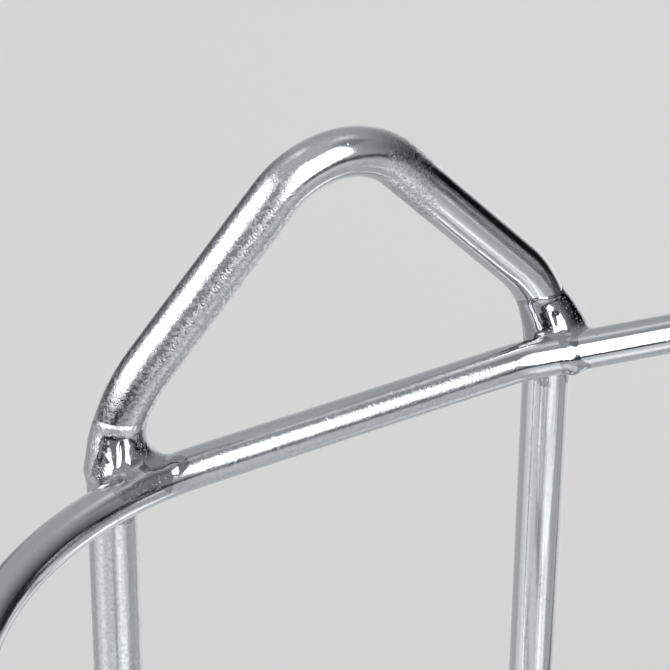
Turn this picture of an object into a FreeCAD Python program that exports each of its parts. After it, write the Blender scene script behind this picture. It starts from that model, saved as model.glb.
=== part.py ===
"""Rod-built rescue basket stretcher, zinc plated steel, all-welded cage.

Frame: +X runs towards the foot end, +Y to the patient's left, +Z up. The origin is at the
middle of the box, on the surface that the two flat runners rest on. Millimetres.

The cage is made from bent round bar:
  * a top rail loop of 10 mm bar: two end bows and two straight side rails, butt-joined at the
    inner leg of each lifting eyelet, where the loop also turns inwards by the kink angle;
  * two closed eyelet hoops of 12 mm bar. Each hoop passes under the bed twice and rises outside
    the rail at both sides, where its two legs lean together into a triangular lifting eyelet;
  * three plain ribs of 12 mm bar between the hoops;
  * a lower loop of 8 mm bar at half height;
  * seven bed rods of 6 mm bar along the bed, with 4 mm cross wires on top. Five of them have a
    bent end piece butt-joined at each end, which rises inside the end bows;
  * two flat runners underneath, each a straight length with a bent end piece at each end.
Loose equipment: four restraint straps with lift-lever buckles, and a foot rest that slides on
the lower rails and is clamped by two tee screws.
"""
import FreeCAD
import Part
import Sketcher
import math
import os

from FreeCAD import Vector, Rotation, Placement

doc = FreeCAD.newDocument("rescue_stretcher")

# ---------------------------------------------------------------- driving dimensions
sheet = doc.addObject("Spreadsheet::Sheet", "dims")
PARAMS = [
    ("rail_d", 10, "top rail bar diameter"),
    ("rib_d", 12, "eyelet hoop and rib bar diameter"),
    ("lower_d", 8, "lower loop bar diameter"),
    ("bed_d", 6, "bed rod diameter"),
    ("wire_d", 4, "bed cross wire diameter"),
    ("gap", 0.1, "root gap left between welded bars"),
    ("skin_y", 290, "plane where rails touch the rib legs"),
    ("rail_z", 200, "top rail centre height"),
    ("lower_z", 76, "lower loop centre height"),
    ("runner_w", 25, "runner width"),
    ("runner_t", 4, "runner thickness"),
    ("runner_y", 110, "runner centre from the middle"),
    ("runner_x", 1060.1, "runner upturned end, mid thickness"),
    ("runner_r", 60, "runner bend radius, mid thickness"),
    ("runner_top", 82, "runner end height"),
    ("kink_x", 889.5, "where the loop turns inwards"),
    ("kink_a", 11.5, "turn of the loop at the kink, degrees"),
    ("kink_r", 30, "bend radius at the kink"),
    ("skin_r", 101, "outer face radius of the loop's corners"),
    ("end_x", 1060, "outer face of the end bows"),
    ("joint_x", 877.5, "inner eyelet leg, and the rail's butt joint"),
    ("outer_leg_x", 998.3, "outer eyelet leg, x"),
    ("outer_leg_y", 272.5, "outer eyelet leg, y"),
    ("shoulder_in", 12.0, "eyelet shoulder above the rail centre, inner leg"),
    ("shoulder_out", 14.2, "eyelet shoulder above the rail centre, outer leg"),
    ("apex_h", 78.7, "eyelet apex, before rounding, above the rail centre"),
    ("apex_off", 0.3, "eyelet apex, towards the outer leg from midway"),
    ("apex_r", 23.3, "eyelet apex bend radius"),
    ("shoulder_r", 40, "eyelet shoulder bend radius"),
    ("rib_r", 45, "bend radius at the bottom of hoops and ribs"),
    ("rib_x", 440, "rib spacing"),
    ("rib_top", 204, "top of the plain ribs"),
    ("bed_r", 50, "bed rod bend radius"),
    ("bed_top", 203, "top of the upturned bed rods"),
    ("bed_pitch", 73, "bed rod spacing"),
    ("edge_rod_y", 218, "outer bed rods"),
    ("edge_rod_x", 1010, "half length of the outer bed rods"),
    ("wire_pitch", 60, "cross wire spacing"),
    ("wire_n", 33, "number of cross wires"),
    ("wire_len", 456, "cross wire length"),
    ("web_w", 50, "strap webbing width"),
    ("web_t", 1.5, "strap webbing thickness"),
    ("bar_y_base", 34, "buckle bar from the strap's middle"),
    ("bar_y_tongue", 58, "tongue bar from the strap's middle"),
    ("buckle_z", 190, "buckle mid-plane height"),
    ("pin_y", 14, "lever pin behind the strap's middle"),
    ("pin_h", 4, "lever pin above the buckle mid-plane"),
    ("pin_d", 4, "lever pin diameter"),
    ("foot_x", 760, "foot rest position at rest"),
    ("tube_d", 16, "foot rest cross tube diameter"),
    ("tube_t", 1.5, "foot rest cross tube wall"),
    ("plate_w", 380, "foot plate width"),
    ("plate_lo", 36, "foot plate lower edge height"),
    ("plate_hi", 160, "foot plate upper edge height"),
    ("plate_t", 3, "foot plate thickness"),
    ("clamp_l", 36, "clamp block length along the rail"),
    ("clamp_w", 30, "clamp block width"),
    ("clamp_h", 34, "clamp block height"),
    ("screw_d", 8, "clamp screw bore"),
]
for row, (alias, value, note) in enumerate(PARAMS, start=1):
    sheet.set("A%d" % row, alias)
    sheet.set("B%d" % row, str(value))
    sheet.setAlias("B%d" % row, alias)
    sheet.set("C%d" % row, note)
doc.recompute()


def P(name):
    return float(sheet.get(name))


rail_d, rib_d, low_d, bed_d, gap = P("rail_d"), P("rib_d"), P("lower_d"), P("bed_d"), P("gap")
kink_a = math.radians(P("kink_a"))
rib_z = P("runner_t") + gap + rib_d / 2          # bars that cross under the bed
bed_z = rib_z + rib_d / 2 + gap + bed_d / 2      # bed rods
wire_z = bed_z + bed_d / 2 + 0.05 + P("wire_d") / 2
leg_y = P("skin_y") + gap + rib_d / 2            # leg centres of ribs and inner eyelet legs
RIB_Z = "dims.runner_t + dims.gap + dims.rib_d / 2"
BED_Z = "dims.runner_t + 2 * dims.gap + dims.rib_d + dims.bed_d / 2"
LEG_Y = "dims.skin_y + dims.gap + dims.rib_d / 2"

parts = []  # (label, object) in the order they are made


def keep(obj, label):
    obj.Label = label
    parts.append((label, obj))
    return obj


# ---------------------------------------------------------------- helpers
def origin_plane(body, role):
    for f in body.Origin.OriginFeatures:
        if f.Role == role:
            return f
    raise RuntimeError(role)


def new_sketch(body, name, role, off=0.0, expr=None):
    sk = body.newObject("Sketcher::SketchObject", name)
    sk.AttachmentSupport = [(origin_plane(body, role), "")]
    sk.MapMode = "FlatFace"
    sk.AttachmentOffset = Placement(Vector(0, 0, off), Rotation())
    if expr:
        sk.setExpression("AttachmentOffset.Base.z", expr)
    return sk


def bind(sk, con, expr):
    i = sk.addConstraint(con)
    if expr:
        sk.setExpression("Constraints[%d]" % i, expr)
    return i


def at_coord(sk, geo, pos, axis, value, expr=None):
    """Point pos of geometry geo lies at value along the sketch axis. expr gives the size without its sign."""
    kind = "DistanceX" if axis == "x" else "DistanceY"
    if abs(value) < 1e-9:
        sk.addConstraint(Sketcher.Constraint("PointOnObject", geo, pos, -2 if axis == "x" else -1))
    elif value > 0:
        bind(sk, Sketcher.Constraint(kind, -1, 1, geo, pos, value), expr)
    else:
        bind(sk, Sketcher.Constraint(kind, geo, pos, -1, 1, -value), expr)


def corner(a, b, c, r):
    """Tangent points and centre of a fillet of radius r at b, between a and c (2-D tuples)."""
    ux, uy = a[0] - b[0], a[1] - b[1]
    vx, vy = c[0] - b[0], c[1] - b[1]
    lu, lv = math.hypot(ux, uy), math.hypot(vx, vy)
    ux, uy, vx, vy = ux / lu, uy / lu, vx / lv, vy / lv
    ang = math.acos(max(-1, min(1, ux * vx + uy * vy)))
    back = r / math.tan(ang / 2)
    wx, wy = ux + vx, uy + vy
    lw = math.hypot(wx, wy)
    away = r / math.sin(ang / 2)
    cen = (b[0] + wx / lw * away, b[1] + wy / lw * away)
    left = (-ux) * vy - (-uy) * vx > 0
    return (b[0] + ux * back, b[1] + uy * back), (b[0] + vx * back, b[1] + vy * back), cen, left


def path_in_sketch(sk, pts, radii, radius_exprs):
    """Straight runs joined by tangent arcs. Returns the geometry ids of the runs and of the arcs."""
    runs, arcs, ends = [], [], []
    start = pts[0]
    for i in range(1, len(pts) - 1):
        t1, t2, cen, left = corner(pts[i - 1], pts[i], pts[i + 1], radii[i - 1])
        runs.append(sk.addGeometry(Part.LineSegment(Vector(*start, 0), Vector(*t1, 0)), False))
        a1 = math.atan2(t1[1] - cen[1], t1[0] - cen[0])
        a2 = math.atan2(t2[1] - cen[1], t2[0] - cen[0])
        circle = Part.Circle(Vector(*cen, 0), Vector(0, 0, 1), radii[i - 1])
        if left:
            arcs.append(sk.addGeometry(Part.ArcOfCircle(circle, a1, a2), False))
            ends.append((1, 2))
        else:
            arcs.append(sk.addGeometry(Part.ArcOfCircle(circle, a2, a1), False))
            ends.append((2, 1))
        start = t2
    runs.append(sk.addGeometry(Part.LineSegment(Vector(*start, 0), Vector(*pts[-1], 0)), False))
    for k, arc in enumerate(arcs):
        first, last = ends[k]
        sk.addConstraint(Sketcher.Constraint("Tangent", runs[k], 2, arc, first))
        sk.addConstraint(Sketcher.Constraint("Tangent", arc, last, runs[k + 1], 1))
        bind(sk, Sketcher.Constraint("Radius", arc, radii[k]), radius_exprs[k])
    return runs, arcs


def horizontal(sk, geo, y, expr):
    sk.addConstraint(Sketcher.Constraint("Horizontal", geo))
    at_coord(sk, geo, 1, "y", y, expr)


def vertical(sk, geo, x, expr):
    sk.addConstraint(Sketcher.Constraint("Vertical", geo))
    at_coord(sk, geo, 1, "x", x, expr)


def round_section(body, role, off, off_expr, cx, cy, cx_expr, cy_expr, dia, dia_expr):
    sk = new_sketch(body, "Section", role, off, off_expr)
    g = sk.addGeometry(Part.Circle(Vector(cx, cy, 0), Vector(0, 0, 1), dia / 2), False)
    bind(sk, Sketcher.Constraint("Diameter", g, dia), dia_expr)
    at_coord(sk, g, 3, "x", cx, cx_expr)
    at_coord(sk, g, 3, "y", cy, cy_expr)
    return sk


def sweep(body, section, spine):
    doc.recompute()
    pipe = body.newObject("PartDesign::AdditivePipe", "Bar")
    pipe.Profile = section
    pipe.Spine = (spine, ["Edge%d" % (i + 1) for i in range(len(spine.Shape.Edges))])
    section.Visibility = spine.Visibility = False
    doc.recompute()
    return pipe


def soften_ends(body, pipe, size, where):
    """Chamfers the circular end edges that `where` picks."""
    names = []
    for i, e in enumerate(pipe.Shape.Edges, start=1):
        c = e.CenterOfMass
        if len(e.Vertexes) <= 2 and where(c) and isinstance(e.Curve, Part.Circle):
            names.append("Edge%d" % i)
    if names:
        ch = body.newObject("PartDesign::Chamfer", "EndChamfer")
        ch.Base = (pipe, names)
        ch.Size = size
        doc.recompute()


# ---------------------------------------------------------------- rail loops
def bow(label, dia_name, z_name, foot):
    """End bow of a loop: from the joint at one inner eyelet leg round the end to the other."""
    d = P(dia_name)
    y0 = P("skin_y") - d / 2
    # at the ends both loops have their inner faces in one plane, where the upright rods touch them
    ex = P("end_x") - rail_d + d / 2
    # along the sides their outer faces keep one plan; the kink point moves with the bar's size
    kx = P("kink_x") + (5 - d / 2) * math.tan(kink_a / 2)
    cy = y0 - (ex - kx) * math.tan(kink_a)
    jx = P("joint_x") + 0.25
    r = P("skin_r") - d / 2
    pts = [(-jx, y0), (-kx, y0), (-ex, cy), (-ex, -cy), (-kx, -y0), (-jx, -y0)]
    body = doc.addObject("PartDesign::Body", label)
    sk = new_sketch(body, "Route", "XY_Plane")
    rad, rexp = P("kink_r"), "dims.kink_r"
    cexp = "dims.skin_r - dims.%s / 2" % dia_name
    runs, arcs = path_in_sketch(sk, pts, [rad, r, r, rad], [rexp, cexp, cexp, rexp])
    yexp = "dims.skin_y - dims.%s / 2" % dia_name
    horizontal(sk, runs[0], y0, yexp)
    horizontal(sk, runs[4], -y0, yexp)
    vertical(sk, runs[2], -ex, "dims.end_x - dims.rail_d + dims.%s / 2" % dia_name)
    at_coord(sk, runs[0], 1, "x", -jx, "dims.joint_x + 0.25")
    at_coord(sk, runs[4], 2, "x", -jx, "dims.joint_x + 0.25")
    kexp = ("dims.kink_x + (5 - dims.%s / 2) * tan(dims.kink_a * 0.5 * 1deg)"
            " - dims.kink_r * tan(dims.kink_a * 0.5 * 1deg)" % dia_name)
    cx = -(kx - P("kink_r") * math.tan(kink_a / 2))
    at_coord(sk, arcs[0], 3, "x", cx, kexp)
    at_coord(sk, arcs[3], 3, "x", cx, kexp)
    for run in (runs[1], runs[3]):
        # turn measured from the run before to the run after, always to the same hand
        a, b = (runs[0], run) if run == runs[1] else (run, runs[4])
        bind(sk, Sketcher.Constraint("Angle", a, 2, b, 1, math.pi + kink_a), "180deg + dims.kink_a * 1deg")
    sec = round_section(body, "YZ_Plane", -jx, "-dims.joint_x - 0.25", y0, 0, yexp, None, d, "dims." + dia_name)
    sweep(body, sec, sk)
    turn = Rotation(Vector(0, 0, 1), 180 if foot else 0)
    body.Placement = Placement(Vector(0, 0, P(z_name)), turn)
    body.setExpression("Placement.Base.z", "dims." + z_name)
    return keep(body, label)


def straight_bar(label, dia_expr, half_expr, y_expr, z_expr, side):
    """Round bar along X, from -half to +half, on one side."""
    bar = doc.addObject("Part::Cylinder", label)
    bar.Placement = Placement(Vector(0, 0, 0), Rotation(Vector(0, 1, 0), 90))
    bar.setExpression("Radius", "(%s) / 2" % dia_expr)
    bar.setExpression("Height", "2 * (%s)" % half_expr)
    bar.setExpression("Placement.Base.x", "-(%s)" % half_expr)
    bar.setExpression("Placement.Base.y", "%s(%s)" % ("" if side > 0 else "-", y_expr))
    bar.setExpression("Placement.Base.z", z_expr)
    return keep(bar, label)


bow("head_rail_bow", "rail_d", "rail_z", False)
bow("foot_rail_bow", "rail_d", "rail_z", True)
straight_bar("side_rail_left", "dims.rail_d", "dims.joint_x - 0.25", "dims.skin_y - dims.rail_d / 2", "dims.rail_z", 1)
straight_bar("side_rail_right", "dims.rail_d", "dims.joint_x - 0.25", "dims.skin_y - dims.rail_d / 2", "dims.rail_z", -1)
bow("head_lower_bow", "lower_d", "lower_z", False)
bow("foot_lower_bow", "lower_d", "lower_z", True)
straight_bar("lower_rail_left", "dims.lower_d", "dims.joint_x - 0.25", "dims.skin_y - dims.lower_d / 2", "dims.lower_z", 1)
straight_bar("lower_rail_right", "dims.lower_d", "dims.joint_x - 0.25", "dims.skin_y - dims.lower_d / 2", "dims.lower_z", -1)


# ---------------------------------------------------------------- eyelet hoops
def wire_through(pts, radii, closed):
    """3-D wire of straight runs and tangent arcs through pts; a closed one starts half-way along its last run."""
    n = len(pts)
    edges = []
    corners = range(n) if closed else range(1, n - 1)
    start = (pts[-1] + pts[0]) * 0.5 if closed else pts[0]
    first = start
    for i in corners:
        a, b, c = pts[(i - 1) % n], pts[i], pts[(i + 1) % n]
        u, v = (a - b).normalize(), (c - b).normalize()
        ang = u.getAngle(v)
        r = radii[i]
        back = r / math.tan(ang / 2)
        t1, t2 = b + u * back, b + v * back
        w = (u + v).normalize()
        mid = b + w * (r / math.sin(ang / 2) - r)
        edges.append(Part.LineSegment(start, t1).toShape())
        edges.append(Part.Arc(t1, mid, t2).toShape())
        start = t2
    edges.append(Part.LineSegment(start, first if closed else pts[-1]).toShape())
    return Part.Wire(edges)


def hoop_points(sign):
    """The centreline of the hoop at the head end (sign -1) or foot end (+1)."""
    zi, za = rib_z, P("rail_z") + P("apex_h")
    si, so = P("rail_z") + P("shoulder_in"), P("rail_z") + P("shoulder_out")
    xi, yi = sign * P("joint_x"), leg_y
    xo, yo = sign * P("outer_leg_x"), P("outer_leg_y")
    xm, ym = (xi + xo) / 2 + sign * P("apex_off"), (yi + yo) / 2
    rb, rs, ra = P("rib_r"), P("shoulder_r"), P("apex_r")
    pts = [Vector(xi, yi, zi), Vector(xi, yi, si), Vector(xm, ym, za), Vector(xo, yo, so), Vector(xo, yo, zi),
           Vector(xo, -yo, zi), Vector(xo, -yo, so), Vector(xm, -ym, za), Vector(xi, -yi, si), Vector(xi, -yi, zi)]
    return pts, [rb, rs, ra, rs, rb, rb, rs, ra, rs, rb]


def hoop(label, foot):
    """One bent bar, closed by a butt weld at the middle of its inner bottom run."""
    pts, radii = hoop_points(-1)
    spine = wire_through(pts, radii, True)
    start = (pts[-1] + pts[0]) * 0.5
    section = Part.Wire([Part.Circle(start, Vector(0, 1, 0), rib_d / 2).toShape()])
    # open sweep that starts and ends on the same plane
    bar = Part.Wire(spine.OrderedEdges).makePipeShell([section], True, True)
    shape = bar if bar.ShapeType == "Solid" else Part.Solid(bar)
    feat = doc.addObject("Part::Feature", label)
    feat.Shape = shape
    feat.Placement = Placement(Vector(0, 0, 0), Rotation(Vector(0, 0, 1), 180 if foot else 0))
    return keep(feat, label)


hoop("head_eyelet_hoop", False)
hoop("foot_eyelet_hoop", True)


# ---------------------------------------------------------------- plain ribs
def rib(label, x, x_expr):
    top = P("rib_top")
    pts = [(-leg_y, top), (-leg_y, rib_z), (leg_y, rib_z), (leg_y, top)]
    body = doc.addObject("PartDesign::Body", label)
    sk = new_sketch(body, "Route", "YZ_Plane")
    runs, arcs = path_in_sketch(sk, pts, [P("rib_r")] * 2, ["dims.rib_r"] * 2)
    vertical(sk, runs[0], -leg_y, LEG_Y)
    horizontal(sk, runs[1], rib_z, RIB_Z)
    vertical(sk, runs[2], leg_y, LEG_Y)
    at_coord(sk, runs[0], 1, "y", top, "dims.rib_top")
    at_coord(sk, runs[2], 2, "y", top, "dims.rib_top")
    sec = round_section(body, "XY_Plane", top, "dims.rib_top", 0, -leg_y, None, LEG_Y, rib_d, "dims.rib_d")
    pipe = sweep(body, sec, sk)
    soften_ends(body, pipe, 1.5, lambda c: abs(c.z - top) < 0.01)
    body.Placement = Placement(Vector(x, 0, 0), Rotation())
    if x_expr:
        body.setExpression("Placement.Base.x", x_expr)
    return keep(body, label)


rib("rib_chest", -P("rib_x"), "-dims.rib_x")
rib("rib_middle", 0, None)
rib("rib_knee", P("rib_x"), "dims.rib_x")


# ---------------------------------------------------------------- bed
def bent_end(name, route, exprs, radius, radius_expr, section):
    """End piece: down from the top, round one bend, and a short way in along the bed."""
    body = doc.addObject("PartDesign::Body", name)
    sk = new_sketch(body, "Route", "XZ_Plane")
    (x0, top), (_, low), (x1, _) = route
    runs, arcs = path_in_sketch(sk, route, [radius], [radius_expr])
    vertical(sk, runs[0], x0, exprs["x"])
    horizontal(sk, runs[1], low, exprs["low"])
    at_coord(sk, runs[0], 1, "y", top, exprs["top"])
    at_coord(sk, runs[1], 2, "x", x1, exprs["joint"])
    return body, sweep(body, section(body), sk)


def three_piece(label, y, y_expr, ends, middle):
    """One bar of three pieces in line: the bent head end, the straight middle and the bent foot end."""
    whole = doc.addObject("Part::Compound", label)
    whole.Links = [ends[0], middle, ends[1]]
    whole.Placement = Placement(Vector(0, y, 0), Rotation())
    if y_expr:
        whole.setExpression("Placement.Base.y", y_expr)
    return keep(whole, label)


def bed_rod(label, y, y_expr):
    ex = P("end_x") - rail_d - gap - bed_d / 2
    ex_expr = "dims.end_x - dims.rail_d - dims.gap - dims.bed_d / 2"
    top = P("bed_top")
    xj = ex - P("bed_r") - 10
    xj_expr = "%s - dims.bed_r - 10" % ex_expr
    ends = []
    for foot in (False, True):
        def section(body):
            return round_section(body, "XY_Plane", top, "dims.bed_top", -ex, 0, ex_expr, None, bed_d, "dims.bed_d")
        body, pipe = bent_end(label + ("_foot_end" if foot else "_head_end"), [(-ex, top), (-ex, bed_z), (-xj, bed_z)],
                              {"x": ex_expr, "low": BED_Z, "top": "dims.bed_top", "joint": xj_expr},
                              P("bed_r"), "dims.bed_r", section)
        soften_ends(body, pipe, 1.0, lambda c: abs(c.z - top) < 0.01)
        body.Placement = Placement(Vector(0, 0, 0), Rotation(Vector(0, 0, 1), 180 if foot else 0))
        ends.append(body)
    bar = doc.addObject("Part::Cylinder", label + "_middle")
    bar.Placement = Placement(Vector(0, 0, 0), Rotation(Vector(0, 1, 0), 90))
    bar.setExpression("Radius", "dims.bed_d / 2")
    bar.setExpression("Height", "2 * (%s - dims.gap)" % xj_expr)
    bar.setExpression("Placement.Base.x", "-(%s - dims.gap)" % xj_expr)
    bar.setExpression("Placement.Base.z", BED_Z)
    return three_piece(label, y, y_expr, ends, bar)


bed_rod("bed_rod_1", 2 * P("bed_pitch"), "2 * dims.bed_pitch")
bed_rod("bed_rod_2", P("bed_pitch"), "dims.bed_pitch")
bed_rod("bed_rod_3", 0, None)
bed_rod("bed_rod_4", -P("bed_pitch"), "-dims.bed_pitch")
bed_rod("bed_rod_5", -2 * P("bed_pitch"), "-2 * dims.bed_pitch")
straight_bar("bed_edge_rod_left", "dims.bed_d", "dims.edge_rod_x", "dims.edge_rod_y", BED_Z, 1)
straight_bar("bed_edge_rod_right", "dims.bed_d", "dims.edge_rod_x", "dims.edge_rod_y", BED_Z, -1)

# cross wires: straight pins on top of the bed rods, one every wire_pitch
wires = []
for k in range(int(P("wire_n"))):
    x = (k - (P("wire_n") - 1) / 2) * P("wire_pitch")
    w = Part.makeCylinder(P("wire_d") / 2, P("wire_len"), Vector(x, -P("wire_len") / 2, wire_z), Vector(0, 1, 0))
    wires.append(w)
feat = doc.addObject("Part::Feature", "bed_cross_wires")
feat.Shape = Part.makeCompound(wires)
feat.Placement = Placement()
keep(feat, "bed_cross_wires")


# ---------------------------------------------------------------- runners
def runner(label, side):
    ex, top, t, w = P("runner_x"), P("runner_top"), P("runner_t"), P("runner_w")
    xj = ex - P("runner_r") - 10
    xj_expr = "dims.runner_x - dims.runner_r - 10"

    def section(body):
        sec = new_sketch(body, "Section", "XY_Plane", top, "dims.runner_top")
        x0, x1, y0, y1 = -ex - t / 2, -ex + t / 2, -w / 2, w / 2
        c = [(x0, y0), (x1, y0), (x1, y1), (x0, y1)]
        g = [sec.addGeometry(Part.LineSegment(Vector(*c[i], 0), Vector(*c[(i + 1) % 4], 0)), False) for i in range(4)]
        for i in range(4):
            sec.addConstraint(Sketcher.Constraint("Coincident", g[i], 2, g[(i + 1) % 4], 1))
            sec.addConstraint(Sketcher.Constraint("Horizontal" if i % 2 == 0 else "Vertical", g[i]))
        at_coord(sec, g[0], 1, "x", x0, "dims.runner_x + dims.runner_t / 2")
        at_coord(sec, g[0], 2, "x", x1, "dims.runner_x - dims.runner_t / 2")
        at_coord(sec, g[0], 1, "y", y0, "dims.runner_w / 2")
        at_coord(sec, g[2], 1, "y", y1, "dims.runner_w / 2")
        return sec

    ends = []
    for foot in (False, True):
        body, _ = bent_end(label + ("_foot_end" if foot else "_head_end"), [(-ex, top), (-ex, t / 2), (-xj, t / 2)],
                           {"x": "dims.runner_x", "low": "dims.runner_t / 2", "top": "dims.runner_top", "joint": xj_expr},
                           P("runner_r"), "dims.runner_r", section)
        body.Placement = Placement(Vector(0, 0, 0), Rotation(Vector(0, 0, 1), 180 if foot else 0))
        ends.append(body)
    flat = doc.addObject("Part::Box", label + "_middle")
    flat.setExpression("Length", "2 * (%s - dims.gap)" % xj_expr)
    flat.setExpression("Width", "dims.runner_w")
    flat.setExpression("Height", "dims.runner_t")
    flat.setExpression("Placement.Base.x", "-(%s - dims.gap)" % xj_expr)
    flat.setExpression("Placement.Base.y", "-dims.runner_w / 2")
    return three_piece(label, side * P("runner_y"), "%sdims.runner_y" % ("" if side > 0 else "-"), ends, flat)


runner("runner_left", 1)
runner("runner_right", -1)


# ---------------------------------------------------------------- straps
STRAP_X = [-640, -220, 220, 640]


def tangent_from(px, r, cx):
    """Upper tangent point on a circle of radius r at (cx, 0) for a line from (px, 0.. h) given as (x, h)."""
    x, h = px
    dx, dy = x - cx, h
    dist = math.hypot(dx, dy)
    base = math.atan2(dy, dx)
    half = math.acos(r / dist)
    a = base + half if dx > 0 else base - half
    return (cx + r * math.cos(a), r * math.sin(a)), a


def strap(label, x, side, bar_name):
    """Webbing from a sewn loop round the side rail to a sewn loop round a buckle or tongue bar."""
    rail_y = side * (P("skin_y") - rail_d / 2)
    bar_y = side * P(bar_name)
    dy, dz = bar_y - rail_y, P("buckle_z") - P("rail_z")
    L = math.hypot(dy, dz)
    t = P("web_t")
    ri, rb = rail_d / 2 + 0.3, 3.3
    ro, rbo = ri + t, rb + t
    u1, u2, u3, u4 = 30.0, 75.0, L - 50.0, L - 19.0
    d = t + 0.1
    (p1x, p1y), a1 = tangent_from((u1, d), ro, 0)
    (p2x, p2y), a2 = tangent_from((u4, d), rbo, L)
    outer = [Part.LineSegment(Vector(p1x, p1y, 0), Vector(u1, d, 0)),
             Part.LineSegment(Vector(u1, d, 0), Vector(u2, d, 0)),
             Part.LineSegment(Vector(u2, d, 0), Vector(u2 + 2, t / 2, 0)),
             Part.LineSegment(Vector(u2 + 2, t / 2, 0), Vector(u3 - 2, t / 2, 0)),
             Part.LineSegment(Vector(u3 - 2, t / 2, 0), Vector(u3, d, 0)),
             Part.LineSegment(Vector(u3, d, 0), Vector(u4, d, 0)),
             Part.LineSegment(Vector(u4, d, 0), Vector(p2x, p2y, 0))]
    lower = [Part.LineSegment(Vector(s.EndPoint.x, -s.EndPoint.y, 0), Vector(s.StartPoint.x, -s.StartPoint.y, 0))
             for s in reversed(outer)]
    body = doc.addObject("PartDesign::Body", label)
    sk = new_sketch(body, "Profile", "YZ_Plane")
    ids = [sk.addGeometry(s, False) for s in outer]
    arc_bar = sk.addGeometry(Part.ArcOfCircle(Part.Circle(Vector(L, 0, 0), Vector(0, 0, 1), rbo), -a2, a2), False)
    ids2 = [sk.addGeometry(s, False) for s in lower]
    arc_rail = sk.addGeometry(Part.ArcOfCircle(Part.Circle(Vector(0, 0, 0), Vector(0, 0, 1), ro), a1, 2 * math.pi - a1), False)
    (q1x, q1y), b1 = tangent_from((u1 - 6, 0.15), ri, 0)
    h1 = sk.addGeometry(Part.LineSegment(Vector(q1x, q1y, 0), Vector(u1 - 6, 0, 0)), False)
    h2 = sk.addGeometry(Part.LineSegment(Vector(u1 - 6, 0, 0), Vector(q1x, -q1y, 0)), False)
    h3 = sk.addGeometry(Part.ArcOfCircle(Part.Circle(Vector(0, 0, 0), Vector(0, 0, 1), ri), b1, 2 * math.pi - b1), False)
    (q2x, q2y), b2 = tangent_from((u4 + 4, 0.15), rb, L)
    k1 = sk.addGeometry(Part.LineSegment(Vector(q2x, -q2y, 0), Vector(u4 + 4, 0, 0)), False)
    k2 = sk.addGeometry(Part.LineSegment(Vector(u4 + 4, 0, 0), Vector(q2x, q2y, 0)), False)
    k3 = sk.addGeometry(Part.ArcOfCircle(Part.Circle(Vector(L, 0, 0), Vector(0, 0, 1), rb), -b2, b2), False)
    bind(sk, Sketcher.Constraint("Radius", h3, ri), "dims.rail_d / 2 + 0.3")
    bind(sk, Sketcher.Constraint("Radius", arc_rail, ro), "dims.rail_d / 2 + 0.3 + dims.web_t")
    pad = body.newObject("PartDesign::Pad", "Webbing")
    pad.Profile = sk
    pad.Midplane = True
    pad.Length = P("web_w")
    pad.setExpression("Length", "dims.web_w")
    sk.Visibility = False
    # local u axis (sketch x, body Y) turned from the rail towards the bar
    ang = math.degrees(math.atan2(dz, dy))
    body.Placement = Placement(Vector(x, rail_y, P("rail_z")), Rotation(Vector(1, 0, 0), ang))
    body.setExpression("Placement.Base.z", "dims.rail_z")
    return keep(body, label)


def fused(label, shapes):
    """Adds shapes up into one solid."""
    s = shapes[0].multiFuse(shapes[1:]) if len(shapes) > 1 else shapes[0]
    s = s.removeSplitter()
    if len(s.Solids) != 1:
        raise RuntimeError("%s is %d solids" % (label, len(s.Solids)))
    return s.Solids[0]


def box(x0, x1, y0, y1, z0, z1):
    return Part.makeBox(x1 - x0, y1 - y0, z1 - z0, Vector(x0, y0, z0))


def rod_x(r, x0, x1, y, z):
    return Part.makeCylinder(r, x1 - x0, Vector(x0, y, z), Vector(1, 0, 0))


def static(label, shape, base):
    f = doc.addObject("Part::Feature", label)
    f.Shape = shape
    f.Placement = Placement(base, Rotation())
    return keep(f, label)


def buckle_base_shape():
    """Pressed channel: floor, two side walls, the webbing bar, and a hole each side for the lever pin."""
    w = P("web_w") / 2
    yb, yp, zp, r = P("bar_y_base"), P("pin_y"), P("pin_h"), P("pin_d") / 2
    floor = box(-w - 2, w + 2, -30, 24, -6, -4)
    walls = []
    for s in (-1, 1):
        x0, x1 = (w, w + 2) if s > 0 else (-w - 2, -w)
        wall = box(x0, x1, -yb - 4, 24, -6, 9)
        tri = Part.Face(Part.makePolygon([Vector(x0, 14, 9), Vector(x0, 24, 9), Vector(x0, 24, 1), Vector(x0, 14, 9)]))
        wall = wall.cut(tri.extrude(Vector(x1 - x0, 0, 0)))
        wall = wall.cut(rod_x(r, x0 - 1, x1 + 1, -yp, zp))
        walls.append(wall)
    bar = rod_x(3, -w, w, -yb, 0)
    # the bar is long enough to meet both walls
    s = fused("buckle_base", [floor] + walls + [bar])
    return s


def buckle_lever_shape():
    """Lid with two ears on the pin and a latch nose under it."""
    w = P("web_w") / 2 - 0.35
    yp, zp, r = P("pin_y"), P("pin_h"), P("pin_d") / 2
    lid = box(-w, w, -22, 27, 8, 10.5)
    lip = box(-w + 6, w - 6, 27, 31, 8.6, 10.5)
    ears = [box(-w, -w + 2.5, -yp - 4.5, -yp + 4.5, -0.5, 8), box(w - 2.5, w, -yp - 4.5, -yp + 4.5, -0.5, 8)]
    nose = box(-11, 11, 0.4, 6.5, -0.9, 8)
    tri = Part.Face(Part.makePolygon([Vector(-12, 6.6, -1), Vector(-12, 3.5, -1), Vector(-12, 6.6, 3.5), Vector(-12, 6.6, -1)]))
    nose = nose.cut(tri.extrude(Vector(24, 0, 0)))
    s = fused("buckle_lever", [lid, lip, nose] + ears)
    s = s.cut(rod_x(r + 0.08, -w - 1, w + 1, -yp, zp))
    edges = [e for e in s.Edges if abs(e.CenterOfMass.z - 10.5) < 0.01 and e.Length > 20]
    try:
        s2 = s.makeFillet(0.9, edges)
        if s2.isValid():
            s = s2
    except Exception:
        pass
    return s.Solids[0]


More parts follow.
